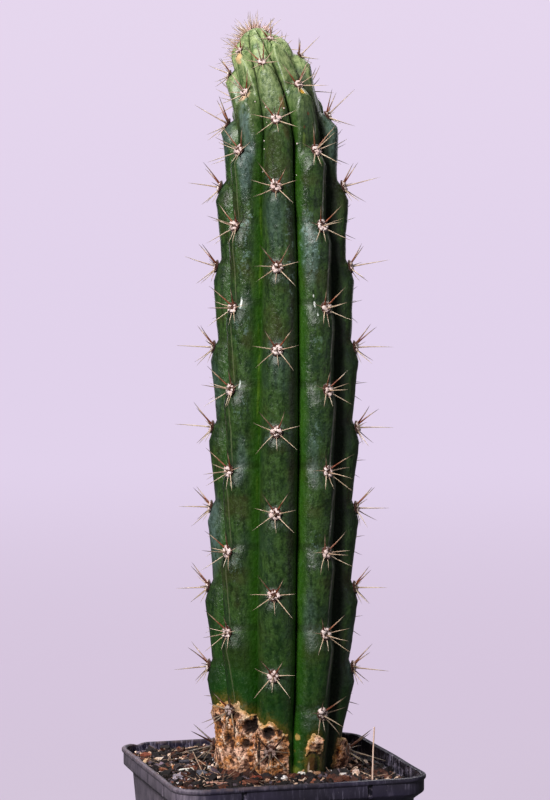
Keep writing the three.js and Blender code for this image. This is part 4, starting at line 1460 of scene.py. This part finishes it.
litter = {
    # place and lift, length, width and height, turn and tilt in degrees, light and middle colours
    "chips": [
        [(-35.4, -8, 1.2), (5.2, 3.4, 1.1), (-8, 24), (226, 218, 204), (250, 246, 238)],
        [(-41, -18, 1.2), (4.2, 3.4, 2.2), (-20, 10), (150, 138, 152), (196, 184, 198)],
        [(-43.3, 18, 1.2), (5.4, 3.2, 1.2), (15, 20), (206, 158, 118), (240, 214, 182)],
        [(-38.5, 22, 1.3), (3.2, 2, 0.9), (-30, 18), (214, 184, 164), (240, 222, 206)],
        [(-41.6, 33, 1.2), (4, 3, 1.8), (20, 14), (116, 54, 36), (158, 84, 58)],
        [(-41.8, 6, 1.3), (2.4, 2.2, 2), (50, 20), (102, 80, 96), (150, 128, 144)],
        [(-43.6, -3, 1.2), (2.6, 2, 2), (10, 15), (112, 58, 38), (160, 94, 64)],
        [(-38, -2, 1.4), (3.2, 2.6, 2.6), (30, 20), (52, 44, 46), (84, 74, 76)],
        [(-32, 10, 1.4), (3.8, 2.6, 1.8), (5, 8), (40, 38, 46), (76, 72, 84)],
        [(-32, -16, 1.6), (3.4, 2.8, 2.2), (25, 18), (70, 72, 84), (116, 116, 128)],
        [(-37.5, 2, 1.3), (2.8, 1.6, 1.4), (35, 20), (170, 98, 54), (206, 140, 90)],
        [(-30.8, -34.6, 1.2), (7.8, 2.2, 1.8), (-17, 6), (164, 106, 88), (222, 174, 158)],
        [(-26, -12, 1.6), (3.2, 2.4, 2.4), (60, 22), (74, 58, 72), (116, 98, 112)],
        [(-27, -9, 2.6), (1.2, 1, 1), (0, 30), (222, 214, 214), (246, 242, 240)],
        [(-14, -30, 1.4), (3.4, 2.4, 1.8), (20, 20), (112, 44, 30), (160, 78, 54)],
        [(-4, -32, 1.4), (2.4, 2, 1.6), (-20, 26), (206, 196, 194), (244, 238, 236)],
        [(4.5, -27, 1.6), (2.6, 1.4, 1.6), (-35, 34), (214, 206, 196), (248, 244, 238)],
        [(10, -28, 1.4), (3, 2.2, 1.6), (15, 20), (120, 80, 56), (172, 128, 96)],
        [(24, -19, 1.6), (2.8, 2, 1.8), (40, 25), (176, 128, 110), (226, 190, 172)],
        [(29.4, -17, 1.6), (2.4, 2, 2), (0, 20), (190, 150, 136), (234, 208, 196)],
        [(20, -30, 1.4), (2.8, 1.8, 1.4), (-25, 18), (198, 184, 178), (240, 232, 228)],
        [(37, 4, 1.6), (3.2, 2.4, 2.4), (70, 25), (122, 70, 56), (176, 116, 98)],
    ],
    "chipSeed": 91,
    "fibreSeed": 61,
    "fibres": 210,
    "length": [3, 13],
    "thickness": [0.07, 0.18],
    "lift": [0.6, 2.2],
    "slope": 0.28,
    "bend": 0.16,  # for each millimetre of length
    "fallenBend": 0.5,
    "fibreColours": ((84, 52, 40), (216, 182, 156), (48, 30, 24)),
    # fallen spines: start, end, thickness, all in millimetres above the soil
    "fallen": [[[-30, 34, 2.6], [-21.5, 30, 4.6], 0.26], [[-28, 12, 5.2], [-33, -26, 2.0], 0.18],
               [[-27, 12, 2], [-22.8, 12, 5], 0.18], [[-28, 4, 3.2], [-26.6, -13, 2.2], 0.18],
               [[-35, -24, 1.6], [-29, -10, 3], 0.18], [[-38, 12, 2.4], [-34, 24, 2.6], 0.16],
               [[31, -12, 2.4], [38, -20, 1.4], 0.24], [[12, -38, 1.6], [21, -33, 1.8], 0.2]],
}


def makeLitterChip(number, place, size, turns, first, second):
    turn, tilt = [math.radians(v) for v in turns]
    obj = makeChip("litterChip%02d" % number, litter["chipSeed"] + number)
    forward = np.array([math.cos(turn), math.sin(turn), 0])
    aside = np.array([-math.sin(turn) * math.cos(tilt), math.cos(turn) * math.cos(tilt), math.sin(tilt)])
    edges = np.array([forward, aside, np.cross(forward, aside)]) * np.array(size)[:, None]
    setPoints(obj, (aboveSoil(*place) + pointsOf(obj) @ edges) * mm)
    dark = tuple(round(v * 0.5) for v in first)
    finishPiece(obj, makeSoilFinish(obj.name + "Finish", (first, second, dark)), 35)


def fibreRow(rng, start, reach, thick, bend):
    aside, other = sidesOf(unit(reach), [0.1, 0.2, 1])
    curve = aside * bend * rng.normal() + other * bend * 0.3 * rng.normal()
    return start, [aside * thick, other * thick, reach], curve, [rng.uniform(0, 1), 0]


def fibreRows():
    rng = np.random.default_rng(litter["fibreSeed"])
    rows = []
    lengths = rng.uniform(*litter["length"], litter["fibres"])
    for (x, y), length in zip(scatterPlaces(rng, lengths / 2 + 1), lengths):
        turn = rng.uniform(0, 2 * math.pi)
        reach = np.array([math.cos(turn), math.sin(turn), rng.normal(0, litter["slope"])]) * length
        middle = aboveSoil(x, y, rng.uniform(*litter["lift"]))
        if np.hypot(*(middle[:2] - axisAt(0.0)[:2])) > soil["stemGirth"] + length / 2:
            thick = rng.uniform(*litter["thickness"])
            rows.append(fibreRow(rng, middle - reach / 2, reach, thick, litter["bend"] * length))
    for start, end, thick in litter["fallen"]:
        start, end = aboveSoil(*start), aboveSoil(*end)
        rows.append(fibreRow(rng, start, end - start, thick, litter["fallenBend"])[:3] + ([1, 0],))
    return rows


for number, chip in enumerate(litter["chips"]):
    makeLitterChip(number, *chip)
fibrePrototype = makeRod("fibrePrototype", 5)
cutLevels(fibrePrototype, (0.2, 0.4, 0.6, 0.8))
soilFibres = copies("soilFibres", fibrePrototype, fibreRows())
finishPiece(soilFibres, makeSoilFinish("fibreFinish", litter["fibreColours"], toned=True), 60)


# Straw: a dry stalk stuck in the soil

straw = {
    "place": [29.2, -38],
    "radius": 0.37,
    "height": 22.7,
    "sunk": 4,
    "bow": 0.7,
    "sides": 12,
    "thinning": 0.25,
    "knot": [0.45, 0.025, 0.16],  # how far up, half height, swelling
}


def makeStraw():
    x, y = straw["place"]
    ground = float(soilHeight(x, y))
    whole = straw["height"] + straw["sunk"]
    middle = ground + straw["height"] - whole / 2
    obj = makeRod("strawStalk", straw["sides"], straw["radius"], whole, (x, y, middle), ends="NGON")
    cutLevels(obj, np.linspace(ground - 1, ground + straw["height"] - 1, 14))
    points = pointsOf(obj)
    rise = np.clip((points[:, 2] - ground) / straw["height"], 0, 1)
    at, tall, swelling = straw["knot"]
    girth = 1 - straw["thinning"] * rise + swelling * np.exp(-((rise - at) / tall) ** 2)
    points[:, 0] = x + (points[:, 0] - x) * girth + straw["bow"] * rise ** 2
    points[:, 1] = y + (points[:, 1] - y) * girth
    setPoints(obj, points * mm)
    return obj


def makeStrawFinish():
    look = Finish("dryStraw", Roughness=0.6)
    strands = look.cloud(0.25, 3, upright=0.06)
    body = look.blend((206, 164, 144), (240, 214, 198), look.step(strands, 0.35, 0.65))
    return look.done(Base_Color=body, Normal=look.relief(strands, 0.06, 0.6))


finishPiece(makeStraw(), makeStrawFinish(), 50, replaced="straw")


# Studio: a pale lilac floor that curves up all round, soft light from the upper left

studio = {
    "floorRadius": 2.6,
    "wallRadius": 4.2,
    "wallHeight": 3.4,
    "curveSteps": 12,
    "floorShade": 0.1,
    "aim": (0, 0, 0.22),
    # name, degrees round from the camera, degrees up, distance to the aim, size, energy, colour
    "lights": [["keyLight", -27, 34, 1.5, 0.4, 31, (1, 0.985, 0.97)],
               ["fillLight", 58, 8, 1.6, 1.0, 1.9, (0.95, 0.93, 1)],
               ["backLight", 166, 55, 1.7, 1.1, 20, (1, 0.97, 0.95)],
               ["rimLeft", -161, 6, 1.6, 0.45, 0.8, (0.93, 0.9, 1)],
               ["rimRight", 161, 6, 1.6, 0.45, 0.8, (0.93, 0.9, 1)]],
    "worldColour": (0.95, 0.93, 1, 1),
    "worldStrength": 0.07,
}
camera = {"distance": 1.05, "elevation": 3.5, "azimuth": -16.4, "lens": 122.4, "target": (1.73, -0.51, 240.2)}


def makeBackdrop():
    floor, wall = studio["floorRadius"], studio["wallRadius"]
    bpy.ops.mesh.primitive_circle_add(vertices=96, radius=floor, fill_type="NGON")
    obj = newest("paleFloor")

    def drawWall():
        radius, level = floor, 0.0
        for step in range(1, studio["curveSteps"] + 1):
            turn = step / studio["curveSteps"] * math.pi / 2
            nextRadius = floor + (wall - floor) * math.sin(turn)
            nextLevel = studio["wallHeight"] * (1 - math.cos(turn))
            drawRing(bpy.ops.mesh.extrude_edges_move, nextLevel - level, nextRadius / radius)
            radius, level = nextRadius, nextLevel

    editAll(obj, edgeMode, bpy.ops.mesh.region_to_loop, drawWall, selectAll,
            lambda: bpy.ops.mesh.normals_make_consistent(inside=True))
    bpy.ops.object.shade_smooth_by_angle(angle=math.radians(30))
    obj.data.materials.append(makeBackdropFinish())
    obj.visible_diffuse = False
    obj.visible_glossy = False


def makeBackdropFinish():
    # Mostly its own light, so that it stays even; near the pot it also takes the shadow.
    look = Finish("paleLilac", Roughness=1, Specular_IOR_Level=0, Emission_Strength=1)
    x, y, z = look.parts(look.place())
    away = look.maths("SQRT", x * x + y * y)
    near = look.step(away, 900, 120)
    shade = studio["floorShade"]
    glow = look.blend((214, 198, 221), (225, 210, 235), look.step(away, 700, 2600))
    glow = look.blend(glow, (230, 215, 238), look.step(z, 60, 800))
    return look.done(Base_Color=look.toned((1, 0.95, 1.04), near * shade),
                     Emission_Color=look.toned(glow, 1 - near * shade * 1.9))


def addLight(name, turn, rise, distance, size, energy, colour):
    turn, rise = math.radians(camera["azimuth"] + turn), math.radians(rise)
    back = Vector((math.sin(turn) * math.cos(rise), -math.cos(turn) * math.cos(rise), math.sin(rise)))
    bpy.ops.object.light_add(type="AREA", location=Vector(studio["aim"]) + back * distance)
    light = newest(name)
    light.data.size = size
    light.data.energy = energy
    light.data.color = colour
    light.rotation_euler = (-back).to_track_quat("-Z", "Y").to_euler()


def addCamera():
    up, turn = math.radians(camera["elevation"]), math.radians(camera["azimuth"])
    back = Vector((math.sin(turn) * math.cos(up), -math.cos(turn) * math.cos(up), math.sin(up)))
    place = Vector(camera["target"]) * mm + back * camera["distance"]
    bpy.ops.object.camera_add(location=place, rotation=(math.pi / 2 - up, 0, turn))
    made = newest("photoCamera")
    made.data.lens = camera["lens"]
    made.data.clip_start = 0.05
    bpy.context.scene.camera = made


makeBackdrop()
for light in studio["lights"]:
    addLight(*light)
world = bpy.data.worlds.new("softRoom")
world.use_nodes = True
sky = world.node_tree.nodes["Background"]
sky.inputs["Color"].default_value = studio["worldColour"]
sky.inputs["Strength"].default_value = studio["worldStrength"]
bpy.context.scene.world = world
bpy.context.scene.view_settings.view_transform = "Standard"
addCamera()
print("studio ready")

bpy.context.view_layer.update()
